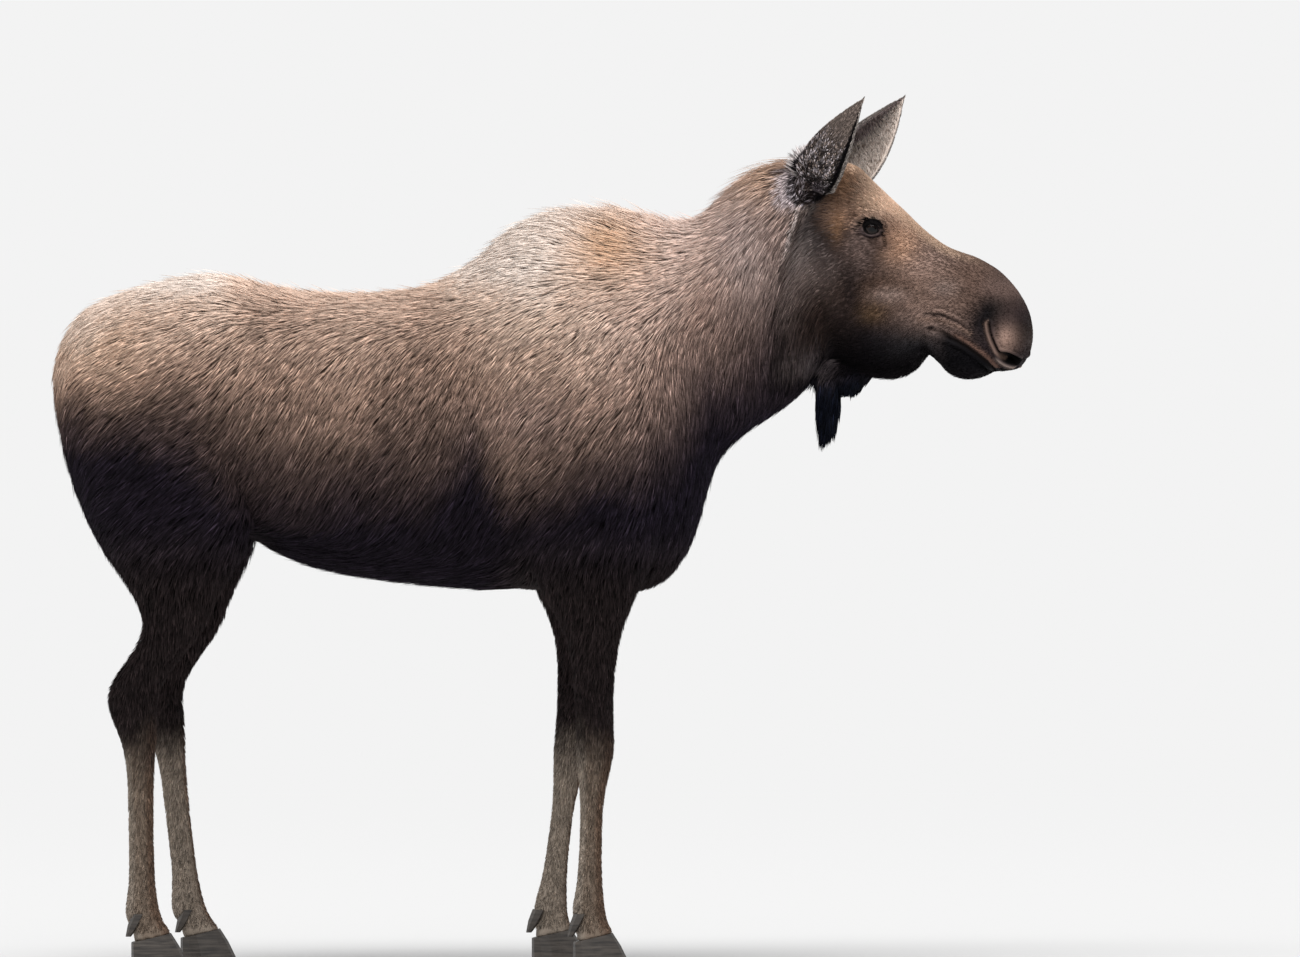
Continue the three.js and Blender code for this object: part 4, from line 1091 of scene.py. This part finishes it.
def tuft_colours(colour, hair, shade, shape):
    """Each tuft's colour at its corners, kept short of white without a change of hue. A tuft is darker at its
    root and lighter at its tip: partly the hair's own tones, and partly painted shade between the tufts and
    painted light on their tips. Its sides and a long tuft's ridge carry painted light too.
    """
    count = len(colour)
    contrast = np.interp(colour.mean(1), *CONTRAST)
    grizzle = contrast * (hair["grizzle"] * rng.normal(0, 1, count) + hair["patchy"] * shade)
    dark, bright = hair["dark"] ** contrast, hair["bright"] ** contrast
    edge = dark * EDGE[0] + EDGE[1]
    ridge = [np.full(count, RIDGE)] if shape is LONG_TUFT else []
    levels = np.stack([dark, edge, edge, *ridge, bright], 1)
    tint = (colour * (hair["gain"] * np.exp(grizzle))[:, None])[:, None, :] * levels[..., None]
    return tint * np.minimum(1, BRIGHTEST / np.maximum(tint.max(-1, keepdims=True), 1e-6))


def coat(name, skin, chosen, kind, chart, shape, hangs=False):
    """One piece of the coat: tufts of the given kind on the chosen triangles of a skin."""
    flow_of, hair_of, colour_of = kind
    roots, normals, hair = rooted(skin, chosen, hair_of, COAT_TRIANGLES // len(shape["faces"]))
    count = len(roots)
    length = hair["length"] * rng.uniform(*LENGTH_SPREAD, count)
    lift = hair["lift"] * rng.uniform(*LIFT_SPREAD, count)
    width = hair["width"] * rng.uniform(*LENGTH_SPREAD, count)
    swing = rng.normal(0, SWING["each"], count) + SWING["broad"] * noise(roots, 170, 7)
    swing = np.radians(swing + SWING["fine"] * noise(roots, 55, 8))
    towards, shade = clumped(roots, hair["per_clump"].mean())
    towards *= hair["gather"][:, None]
    flow = flow_of(roots, normals)
    ahead = turned_about(flat_on(flow, normals), normals, swing)
    bed = roots - normals * np.minimum(2, 0.4 * lift)[:, None]
    step, half = length[:, None] / 2, (width / 2)[:, None]
    if shape is SHORT_TUFT:
        corners = short_tufts(skin, roots, bed, flow, ahead, towards, step, lift, half, hair["loose"])
    elif hangs:
        corners = hanging_tufts(roots, normals, bed, flow, towards, step, half)
    else:
        corners = long_tufts(skin, roots, bed, ahead, towards, step, lift, half)
    colours = tuft_colours(colour_of(roots, normals), hair, shade, shape)
    new_piece(name, tuft_mesh(name, shape, corners, colours, chart(roots)), FUR)


# ---------- what the coat is like from place to place ----------
# Measures as (places, values): down the legs by height, and forward along the face by x.
LEG_HAIR = {
    "length": ([0, 300, 480, 600, 900, 1100], [14, 19, 24, 30, 44, 54]),
    "width": ([0, 300, 600, 900, 1100], [2.4, 2.8, 3.4, 4.2, 4.6]),
    "density": ([0, 480, 800, 1100], [1 / 13, 1 / 14, 1 / 22, 1 / 25]),
}
FACE_HAIR = {
    "length": ([600, 700, 800, 950, 1050, 1150], [32, 22, 17, 13, 10, 7]),
    "width": ([600, 700, 800, 950, 1100], [2.6, 2.2, 1.9, 1.4, 1.2]),
    "lift": ([600, 700, 950, 1100], [7, 3.4, 2.0, 1.0]),
    "density": ([600, 700, 900, 1100], [1 / 12, 1 / 8.5, 1 / 7, 1 / 6.5]),
}
BELL_HAIR = {"width": 3.4, "lift": 4, "density": 1 / 10}
EAR_FOOT_HAIR = {"length": 22, "width": 2.2, "lift": 6, "density": 1 / 12}
COLLAR_LENGTH = 22
# The share of the coat's depth that the hair's tips reach, and the height at which the hooves begin.
HAIR_REACH = 0.85
HOOF_TOP = 96


def turn_into(hair, share, wanted):
    """Brings measures of the hair towards the wanted ones by a share."""
    for key, value in wanted.items():
        hair[key] = hair[key] + (value - hair[key]) * share


def along_table(tables, at):
    return {key: np.interp(at, *values) for key, values in tables.items()}


def trunk_hair(p, n):
    """Long hair, longest on the mane, with stray tufts that stand off along the back."""
    x = p[:, 0]
    back = smooth(0.55, 0.9, n[:, 2])
    crest = back * smooth(-150, 0, x) * smooth(700, 640, x)
    mane = back * smooth(380, 520, x) * smooth(700, 640, x)
    belly = smooth(-0.4, -0.8, n[:, 2])
    chest = smooth(0.3, 0.8, n[:, 0]) * smooth(200, 280, x)
    neck = neckness(p)
    lift = trunk_depth(p) * HAIR_REACH * (1 - 0.35 * chest) + 5 * crest + 3 * mane
    return {
        "length": 68 + 14 * crest + 18 * mane + 10 * belly - 14 * chest,
        "width": 2.7 - 0.6 * neck,
        "lift": lift + rng.exponential(1, len(p)) * (1.2 + 2.2 * back + 1.5 * crest),
        "density": (1 + 0.5 * neck) * (1 - 0.3 * belly) / 24,
    }


def neckness(p):
    return smooth(300, 420, p[:, 0])


def bell_length(p):
    """The hair's length on the bell: down to the ragged foot of its tuft, and of its flap in front."""
    x, z = p[:, 0], p[:, 2]
    on_tuft = (x < 714) | (z < 1350)
    foot = np.where(on_tuft, 1236 + 1.1 * np.abs(x - 674), 1362 + 0.3 * np.abs(x - 740))
    foot = foot + 14 * noise(p, 12, 21)
    behind = smooth(668, 650, x) * smooth(1350, 1385, z)
    return np.clip(z - foot, 6, np.where(on_tuft, 62 - 44 * behind, 30))


def body_hair(p, n):
    """The trunk's hair turned into that of the legs, the face, the bell, the ear's foot and the collar."""
    x, z = p[:, 0], p[:, 2]
    legs, face, ring = legness(p), faceness(p), foot_ring(p)
    hair = trunk_hair(p, n)
    turn_into(hair, legs, along_table(LEG_HAIR, z) | {"lift": leg_depth(p) * HAIR_REACH})
    jaw = smooth(1500, 1440, z) * smooth(980, 880, x)
    on_face = along_table(FACE_HAIR, x)
    on_face["length"] = on_face["length"] + 14 * jaw
    on_face["lift"] = on_face["lift"] + 4 * jaw
    turn_into(hair, face, on_face)
    turn_into(hair, bellness(p), BELL_HAIR | {"length": bell_length(p)})
    turn_into(hair, smooth(2.8, 1.6, ring), EAR_FOOT_HAIR)
    collar = near(collar_gap(p), 10) * smooth(1650, 1720, z) * smooth(1870, 1840, z)
    turn_into(hair, collar, {"length": COLLAR_LENGTH})
    # dark and bright are the tufts' roots and tips, partly painted shade and painted light; lighter takes
    # some of both away on the neck.
    lighter = 0.1 * neckness(p) * (1 - face)
    # gain makes the coat lighter to make up for the shade that its tufts cast on each other: painted light.
    return hair | {
        "lift": hair["lift"] + 3 * collar, "density": hair["density"] * ~bare(p, n),
        "per_clump": 17 - 9 * face, "gather": 0.2 - 0.12 * face, "loose": np.zeros(len(p)),
        "grizzle": 0.31 - 0.2 * face - 0.05 * legs + 0.2 * smooth(1.5, 1.1, ring),
        "patchy": 0.1 - 0.06 * face, "gain": 1.2 - 0.2 * face,
        "dark": 0.55 + 0.35 * face + lighter, "bright": 1.5 - 0.35 * face - lighter,
    }


def bare(p, n):
    """Where nothing grows: the eyes, lids' edges, tear lines, nostrils, the mouth's line and the hooves."""
    reach, gap, _, _ = round_eye(p)
    eye = (gap < 4) & (reach < 50)
    slit, _ = away_from(NOSTRIL_SLIT, p)
    nostril = ((nostril_ring(p) < 1.5) | (slit < 4)) & (np.abs(p[:, 1]) > 18)
    mouth, along = away_from(MOUTH, p)
    lips = (mouth < 5) & (along > 0.1) & (np.abs(n[:, 1]) > 0.3)
    tear, _ = away_from(TEAR_LINE, p)
    return eye | nostril | lips | (p[:, 2] < HOOF_TOP) | ((tear < 4.5) & (np.abs(p[:, 1]) > 60))


def ear_place(p):
    """Where points lie on an ear: the share of its length, the angle round it, and whose side it is on."""
    side = np.sign(p[:, 1].mean())
    axis, opening, across, root = ear_frame(side)
    away = p - root
    t = (away @ axis) / (axis @ axis)
    curve = np.sin(np.clip(t, 0, 1) * np.pi)
    u, v = away @ across - EAR_SWEEP * curve, (away @ opening + EAR_BOW * curve) / EAR_ROUNDNESS
    return t, np.arctan2(v, u), side


def ear_outside(p, n):
    """Whether points lie on the back of the ear, not in its hollow."""
    _, angle, side = ear_place(p)
    _, opening, across, _ = ear_frame(side)
    outwards = across * np.cos(angle)[:, None] + opening * np.sin(angle)[:, None] / EAR_ROUNDNESS
    return (n * outwards).sum(1) > 0


def ear_flow(p, n):
    """Along the ear on its back, across it in its hollow, and outwards round its foot."""
    t, angle, side = ear_place(p)
    axis, opening, across, _ = ear_frame(side)
    along = unit(axis)
    spread = across * np.cos(angle)[:, None] + opening * np.sin(angle)[:, None]
    foot = smooth(0.22, 0.02, t)[:, None]
    rear = np.clip(-np.cos(angle), 0, 1)[:, None]
    back = along - rear * unit(across) * 0.4
    back = back + (spread * 0.9 - along * 0.25 - back) * foot
    return np.where(ear_outside(p, n)[:, None], back, along * 0.45 - unit(across))


def ear_hair(p, n):
    """Short on the back with curls above, longer and partly loose behind the foot, and long in the hollow."""
    t, angle, _ = ear_place(p)
    outside = ear_outside(p, n)
    foot = smooth(0.25, 0.02, t)
    rear, front = np.clip(-np.cos(angle), 0, 1), np.clip(np.cos(angle), 0, 1)
    loose = smooth(0.5, 0.8, rear) * smooth(0.34, 0.12, t) * outside
    lowest = np.interp(rear - front, [-1, 0, 0.3, 0.8, 1], [0.09, 0.05, 0.04, 0.01, -0.05])
    foot_length = 8 - 8 * front + 6 * rear + 24 * smooth(0.84, 0.94, rear)
    # dark and bright as on the body, partly painted shade and light; gain makes the hollow's tufts much
    # lighter to make up for the shade in the hollow and between its tufts: painted light.
    return {
        "length": np.where(outside, 8 + 4 * t + foot * foot_length, 34 - 16 * t),
        "width": np.where(outside, 2.2 + foot, 1.5), "lift": np.where(outside, 2.0 + 8 * foot, 4.0),
        "density": 1 / 8 * (t > lowest) * (1 + 1.2 * loose), "loose": loose,
        "per_clump": np.full(len(p), 9.0), "gather": np.full(len(p), 0.3), "patchy": np.full(len(p), 0.1),
        "grizzle": np.where(outside, 0.18 + 0.6 * smooth(0.7, 0.45, t), 0.22),
        "dark": np.where(outside, 0.6, 0.7), "bright": np.full(len(p), 1.3),
        "gain": np.where(outside, 1.0, 2.9),
    }


def ear_back_colour(p):
    """Grey-brown with black and pale curls, the front's black band with its spot and rim, and the foot."""
    t, angle, _ = ear_place(p)
    rear, turn = -np.cos(angle), np.degrees(angle)
    in_front = turn < 90
    curly = smooth(0.7, 0.45, t)
    blotch = noise(p, 5, 11) + 0.8 * noise(p, 3, 12)
    black = smooth(-0.15, 0.1, blotch + smooth(0.4, 0.05, t) * 0.3)
    spot_gap = ((turn + 36) / 16) ** 2 + ((t - 0.1) / 0.07) ** 2
    return layered(plain(p, (106, 95, 89)), [
        ((15, 12, 14), black * curly * 0.92),
        ((172, 164, 168), smooth(-0.3, -0.5, blotch) * curly * 0.8),
        ((12, 9, 11), smooth(-26, -16, turn - 12 * smooth(0.35, 0.1, t)) * in_front),
        ((116, 107, 112), np.exp(-spot_gap) * 0.8),
        ((165, 156, 150), smooth(-1, 4, turn) * in_front * 0.9),
        ((14, 11, 13), smooth(0.4, 0.65, rear) * smooth(0.32, 0.18, t) * 0.95),
        ((120, 112, 108), smooth(0.85, 0.97, rear) * smooth(0.1, 0.3, t) * 0.8),
        ((168, 161, 160), smooth(0.34, 0.24, t) * smooth(0.84, 0.92, rear) * 0.95),
    ])


def ear_hollow_colour(p):
    """Pale, with a grey rear half that is darkest low in the ear: painted shade on the hollow's rear wall,
    deepest low in the hollow.
    """
    t, angle, _ = ear_place(p)
    shaded = smooth(0.35, 0.05, np.cos(angle) + 0.5 * smooth(0.5, 0.2, t))
    return layered(plain(p, (226, 212, 202)), [
        ((80, 70, 72), shaded * 0.9),
        ((30, 25, 29), shaded * smooth(0.5, 0.3, t) * 0.8),
        ((150, 134, 124), smooth(0.2, 0.8, noise(p, 9, 13)) * 0.25),
    ])


def ear_colour(p, n):
    return np.where(ear_outside(p, n)[:, None], ear_back_colour(p), ear_hollow_colour(p))


# ---------- where a root lies on the unwrap of its piece ----------
def round_axis(along, middle):
    """A chart whose one way is along an axis and whose other is the angle round it."""
    other = [i for i in range(3) if i != along]

    def chart(p):
        centre = middle(p)
        angle = np.arctan2(p[:, other[1]] - centre[:, 1], p[:, other[0]] - centre[:, 0])
        if along == 0:
            angle = np.where(angle < -np.pi / 2, angle + 2 * np.pi, angle)
        return np.stack([p[:, along], angle], -1)

    return chart


def trunk_middle(p):
    rows = whole(TRUNK)
    z = np.interp(p[:, 0], (rows[:, 0] + rows[:, 2]) / 2, (rows[:, 1] + rows[:, 3]) / 2)
    return np.stack([np.zeros(len(p)), z], -1)


def leg_middle(limb, side):
    rows = leg_stations(limb, side)[::-1]

    def middle(p):
        x = np.interp(p[:, 2], rows[:, 1], (rows[:, 0] + rows[:, 2]) / 2)
        return np.stack([x, np.interp(p[:, 2], rows[:, 1], rows[:, 5])], -1)

    return middle


def upright(x):
    """A chart round an upright line on the animal's middle."""
    return round_axis(2, lambda p: np.zeros((len(p), 2)) + [x, 0])


def ear_chart(p):
    t, angle, _ = ear_place(p)
    return np.stack([t, angle], -1)


# ---------- materials ----------
def add_node(tree, kind, inputs, **settings):
    """A node with its inputs given as values or as sockets to link, by name or number."""
    node = tree.nodes.new("ShaderNode" + kind)
    for key, value in settings.items():
        setattr(node, key, value)
    for key, value in inputs.items():
        if isinstance(value, bpy.types.NodeSocket):
            tree.links.new(value, node.inputs[key])
        else:
            node.inputs[key].default_value = value
    return node


def material(name, roughness, specular, colour=(0.5, 0.5, 0.5)):
    """A surface of one colour, with its nodes and its shader."""
    made = bpy.data.materials.new(name)
    made.use_nodes = True
    shader = made.node_tree.nodes["Principled BSDF"]
    shader.inputs["Roughness"].default_value = roughness
    shader.inputs["Specular IOR Level"].default_value = specular
    shader.inputs["Base Color"].default_value = (*colour, 1)
    return made, made.node_tree, shader


def grain(tree, scale, detail, stretch=(1, 1, 1)):
    """Fine noise in the object's own space."""
    place = add_node(tree, "TexCoord", {}).outputs["Object"]
    place = add_node(tree, "Mapping", {"Vector": place, "Scale": stretch}).outputs["Vector"]
    return add_node(tree, "TexNoise", {"Vector": place, "Scale": scale, "Detail": detail}).outputs["Fac"]


def bump(tree, shader, height, strength, distance):
    raised = add_node(tree, "Bump", {"Height": height, "Strength": strength, "Distance": distance})
    tree.links.new(raised.outputs["Normal"], shader.inputs["Normal"])


def tinted(name, roughness, specular, scale, amount):
    """A surface with its colour from the mesh's tint, made a little lighter and darker by fine noise."""
    made, tree, shader = material(name, roughness, specular)
    tint = add_node(tree, "Attribute", {}, attribute_name="tint").outputs["Color"]
    shades = {"Value": grain(tree, scale, 3), "To Min": 1 - amount, "To Max": 1 + amount}
    level = add_node(tree, "MapRange", shades).outputs["Result"]
    varied = add_node(tree, "VectorMath", {0: tint, "Scale": level}, operation="SCALE")
    tree.links.new(varied.outputs["Vector"], shader.inputs["Base Color"])
    return made, tree, shader


def skin_material():
    made, tree, shader = tinted("skin", 0.7, 0.08, 650, 0.22)
    bump(tree, shader, grain(tree, 700, 4, (0.3, 1, 1)), 0.6, 0.0012)
    return made


def horn_material():
    """Dark horn, streaked and ridged along the hoof's height."""
    made, tree, shader = material("horn", 0.45, 0.4, (0.022, 0.018, 0.016))
    streaks = add_node(tree, "ValToRGB", {"Fac": grain(tree, 60, 5, (0.3, 0.3, 3))})
    dark, pale = streaks.color_ramp.elements
    dark.position, dark.color = 0.3, (0.012, 0.010, 0.009, 1)
    pale.position, pale.color = 0.75, (0.06, 0.05, 0.042, 1)
    tree.links.new(streaks.outputs["Color"], shader.inputs["Base Color"])
    bump(tree, shader, grain(tree, 90, 4, (0.2, 0.2, 4)), 0.5, 0.0015)
    return made


# ---------- the pieces ----------
FUR = tinted("fur", 0.7, 0.07, 420, 0.18)[0]
SKIN = skin_material()
HORN = horn_material()
WET_EYE = tinted("eye", 0.12, 0.25, 300, 0.12)[0]
FLESH_NODES = ["shoulders", "barrel", "rump", "tail", "neck", "head", "lower_jaw", "bell"] + [
    f"{limb}_{part}_{side}" for limb in LEGS for part in ("upper", "lower") for side in SIDES]
# The light on the skin under the coat: the body's, and how much more the head's; the ear's back and hollow.
SKIN_SHADE = (0.7, 0.27)
EAR_SHADE = (0.4, 0.9)
# Where each piece of the trunk's and the legs' coat begins and ends along x, and the box of the tail's.
TRUNK_PARTS = {"rump": (-2000, -640), "barrel": (-640, -160), "shoulder": (-160, 330), "neck": (330, 2000)}
LEG_PARTS = {"foreleg": (-400, 2000), "hindleg": (-2000, -400)}
TAIL_BOX = {"x": -1105, "y": 45, "low": 1340, "high": 1480}
# The ear's shell: how far round it reaches, its inset, its thickness at the foot, and what the tip has less.
EAR_SHELL = {"turn": math.radians(115), "inset": 3.0, "thick": 5.0, "thinner": 2.5}
EYE_GAZE = (0.22, -0.05)
PUPIL = (0.42, 0.24)
IRIS = (0.68, 0.62)
# The lashes: how many, where they stand on the lid's edge, how long they are, and half their width.
LASHES = {"count": 90, "along": 17.5, "above": 12.5, "length": (7, 12), "half": 0.5}


def finished(name, verts, tris, colours, surface_material, slot, *nodes):
    """A piece that stands for nodes of the frame."""
    mesh = new_mesh(name, placed(verts), tris)
    paint(mesh, colours)
    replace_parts(new_piece(name, mesh, surface_material), *nodes)


def ear_shell(side):
    """A thin leaf, closed round its rim; its foot is cut obliquely, higher in front."""
    t, share = grid(np.linspace(0, 1, 64), np.linspace(-1, 1, 36))
    angle = math.radians(-90) + share * EAR_SHELL["turn"]
    foot = -0.05 + 0.12 * smooth(0.1, 0.9, np.cos(angle))
    t = foot + (1 - foot) * t
    rim = 1 - 0.6 * np.abs(share) ** 4
    thick = (EAR_SHELL["thick"] - EAR_SHELL["thinner"] * t) * rim
    outer = ear_points(side, t, angle, EAR_SHELL["inset"])
    inner = ear_points(side, t, angle, EAR_SHELL["inset"] + thick)
    verts, faces = tube(np.concatenate([outer, inner[:, ::-1]], 1))
    return verts, outward_triangles(verts, faces)


def build_ears():
    for name, side in SIDES.items():
        verts, tris = ear_shell(side)
        skin = surface(verts, tris)
        under = np.where(ear_outside(verts, skin["normals"]), *EAR_SHADE)
        colours = ear_colour(verts, skin["normals"]) * under[:, None]
        finished(f"ear_shell_{name}", verts, tris, colours, SKIN, "ear_coat", f"ear_{name}")
        kind = (ear_flow, ear_hair, ear_colour)
        back = ear_outside(skin["centres"], skin["face_normals"])
        for part, chosen in (("back", back), ("hollow", ~back)):
            own = surface(verts, tris[chosen])
            everywhere = np.ones(chosen.sum(), bool)
            coat(f"ear_{part}_fur_{name}", own, everywhere, kind, ear_chart, SHORT_TUFT)


def iris_colour(along, above):
    """The eye's colours by the place across its ball: a brown iris with a dark edge, and a long pupil."""
    pupil = np.hypot(along / PUPIL[0], above / PUPIL[1])
    iris = np.hypot(along / IRIS[0], above / IRIS[1])
    return layered(np.tile(tone(14, 9, 8), (len(along), 1)), [
        ((30, 18, 13), smooth(1.05, 0.85, iris) * 0.9),
        ((4, 3, 5), smooth(1.15, 0.95, pupil)),
        ((7, 5, 6), near(iris - 1, 0.08)),
    ])


def eye_ball(name, side):
    """A ball with a bulging cornea, turned a little forwards and down."""
    t, k = grid(np.linspace(0.01, 0.99, 56), circle(64))
    polar = t * np.pi
    bulge = 1 + 0.05 * near(polar, 0.55)
    gaze = unit(np.array([EYE_GAZE[0], side, EYE_GAZE[1]]))
    lid_line = np.array([1, 0, math.sin(EYE_TILT)])
    forwards = unit(lid_line - gaze * (gaze @ lid_line))
    upwards = np.cross(gaze, forwards) * -side
    ring = forwards * np.cos(k)[..., None] + upwards * np.sin(k)[..., None]
    directions = gaze * np.cos(polar)[..., None] + ring * np.sin(polar)[..., None]
    points = directions * (EYE_RADIUS * bulge)[..., None]
    centre = EYE * [1, side, 1]
    verts, faces = tube(points + centre)
    d = unit(verts - centre)
    tris = outward_triangles(verts, faces, centre)
    colours = iris_colour(d @ forwards, d @ upwards)
    finished(f"eye_ball_{name}", verts, tris, colours, WET_EYE, "eye", f"eye_{name}")


def lashes(name, side):
    """Long dark hairs from the edge of the upper lid, outwards and down."""
    count, half = LASHES["count"], LASHES["half"]
    share = rng.uniform(0.04, 0.93, count)
    u, v = -LASHES["along"] * np.cos(share * np.pi), LASHES["above"] * np.sin(share * np.pi)
    x = u * math.cos(EYE_TILT) - v * math.sin(EYE_TILT)
    z = u * math.sin(EYE_TILT) + v * math.cos(EYE_TILT)
    y = np.sqrt(SOCKET_RADIUS**2 - np.minimum(x**2 + z**2, 500))
    root = EYE * [1, side, 1] + np.stack([x, y * side, z], -1)
    spread = 0.15 * u / LASHES["along"]
    way = np.stack([spread, np.full(count, 0.9 * side), rng.uniform(-0.6, -0.2, count)], -1)
    length = rng.uniform(*LASHES["length"], count)[:, None]
    tip = root + unit(way) * length
    across, _ = across_tuft(np.tile([0.0, 0.0, 1.0], (count, 1)), root, tip)
    middle = (root + tip) / 2 + [0, 0, 1]
    corners = np.stack([root, middle + across * half, middle - across * half, tip], 1)
    colours = np.tile(tone(12, 9, 9), (count, 4, 1))
    mesh = tuft_mesh(name, SHORT_TUFT, corners, colours, np.stack([share, length[:, 0]], -1))
    new_piece(name, mesh, FUR)


def on_tail(p):
    x, y, z = p.T
    return (x < TAIL_BOX["x"]) & (np.abs(y) < TAIL_BOX["y"]) & (z < TAIL_BOX["high"]) & (z > TAIL_BOX["low"])


def build_body():
    verts, tris = build_skin()
    skin = surface(verts, tris)
    under = SKIN_SHADE[0] + SKIN_SHADE[1] * headness(verts)
    colours = marking(verts, skin["normals"]) * under[:, None]
    finished("skin", verts, tris, colours, SKIN, "coat", *FLESH_NODES)
    c = skin["centres"]
    x = c[:, 0]
    legs, head, bell = (part(c) > 0.5 for part in (legness, headness, bellness))
    tail = on_tail(c)
    trunk = ~legs & ~head & ~bell & ~tail
    kind = (hair_flow, body_hair, marking)
    along_trunk = round_axis(0, trunk_middle)
    for name, side in SIDES.items():
        own = c[:, 1] * side >= 0
        for part, (rear, front) in TRUNK_PARTS.items():
            chosen = trunk & own & (x >= rear) & (x < front)
            coat(f"{part}_fur_{name}", skin, chosen, kind, along_trunk, LONG_TUFT)
        coat(f"head_fur_{name}", skin, head & own & ~bell, kind, along_trunk, SHORT_TUFT)
        for limb, (rear, front) in LEG_PARTS.items():
            chosen = legs & own & (x > rear) & (x < front) & ~tail
            chart = round_axis(2, leg_middle(limb, side))
            coat(f"{limb}_fur_{name}", skin, chosen, kind, chart, SHORT_TUFT)
    coat("bell_fur", skin, bell, kind, upright(700), LONG_TUFT, hangs=True)
    coat("tail_fur", skin, tail, kind, upright(-1130), LONG_TUFT)


for name, side in SIDES.items():
    eye_ball(name, side)
    lashes(f"lashes_{name}", side)
build_ears()
build_body()
for name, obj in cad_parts.items():
    if "hoof" in name or "dewclaw" in name:
        obj.data.materials.clear()
        obj.data.materials.append(HORN)


# ---------- floor, light and camera ----------
BACKDROP = (0.80, 0.80, 0.80, 1)
WORLD_STRENGTH = 1.12
FLOOR_RINGS = [2, 4, 7, 12, 20, 40, 90]
FLOOR_SIDES = 64
# How far out the floor turns into the backdrop.
FLOOR_FADE = (2.5, 12)
KEY_LIGHT = {"strength": 3.4, "angle": 40, "elevation": 60, "azimuth": -20}
# The camera stands far off, looks down by TILT, and sees FRAME_WIDTH metres across, round AIM (x mm, z m).
CAMERA_DISTANCE = 90
FRAME_WIDTH = 3.094
SENSOR = 36
AIM = (249.9, 1.163)
TILT = math.radians(1.5)


def floor_mesh():
    """A disc of rings, so that its far faces are large and its near ones small."""
    turns = [k * math.pi / (FLOOR_SIDES / 2) for k in range(FLOOR_SIDES)]
    verts = [(0, 0, 0)] + [(r * math.cos(a), r * math.sin(a), 0) for r in FLOOR_RINGS for a in turns]
    following = [(k + 1) % FLOOR_SIDES for k in range(FLOOR_SIDES)]
    faces = [(0, 1 + k, 1 + following[k]) for k in range(FLOOR_SIDES)]
    for a in range(1, len(verts) - FLOOR_SIDES, FLOOR_SIDES):
        b = a + FLOOR_SIDES
        faces += [(a + k, b + k, b + following[k], a + following[k]) for k in range(FLOOR_SIDES)]
    return new_mesh("floor", verts, faces)


def build_floor():
    """A pale floor that turns into the backdrop's light far from the animal."""
    made, tree, shader = material("floor", 0.9, 0.1)
    place = add_node(tree, "TexCoord", {}).outputs["Object"]
    away = add_node(tree, "VectorMath", {0: place}, operation="LENGTH").outputs["Value"]
    edge = {"Value": away, "From Min": FLOOR_FADE[0], "From Max": FLOOR_FADE[1]}
    fade = add_node(tree, "MapRange", edge, interpolation_type="SMOOTHSTEP").outputs["Result"]
    glow = add_node(tree, "Emission", {"Color": BACKDROP, "Strength": WORLD_STRENGTH}).outputs["Emission"]
    mix = add_node(tree, "MixShader", {"Fac": fade, 1: shader.outputs["BSDF"], 2: glow})
    tree.links.new(mix.outputs["Shader"], tree.nodes["Material Output"].inputs["Surface"])
    new_object("floor", floor_mesh(), made)


def set_light():
    world = bpy.data.worlds.new("studio")
    world.use_nodes = True
    background = world.node_tree.nodes["Background"]
    background.inputs["Color"].default_value = BACKDROP
    background.inputs["Strength"].default_value = WORLD_STRENGTH
    scene.world = world
    key = new_object("key", bpy.data.lights.new("key", "SUN"))
    key.data.energy = KEY_LIGHT["strength"]
    key.data.angle = math.radians(KEY_LIGHT["angle"])
    key.rotation_euler = (math.radians(90 - KEY_LIGHT["elevation"]), 0, math.radians(KEY_LIGHT["azimuth"]))
    scene.view_settings.view_transform = "Standard"


def set_camera():
    camera = new_object("camera", bpy.data.cameras.new("camera"))
    camera.data.lens = SENSOR * CAMERA_DISTANCE / FRAME_WIDTH
    camera.data.sensor_width = SENSOR
    camera.data.clip_end = 400
    forward, up = CAMERA_DISTANCE * math.cos(TILT), CAMERA_DISTANCE * math.sin(TILT)
    camera.location = ((AIM[0] + OFFSET[0]) / 1000, -forward, AIM[1] + up)
    camera.rotation_euler = (math.radians(90) - TILT, 0, 0)
    scene.camera = camera


build_floor()
set_light()
set_camera()
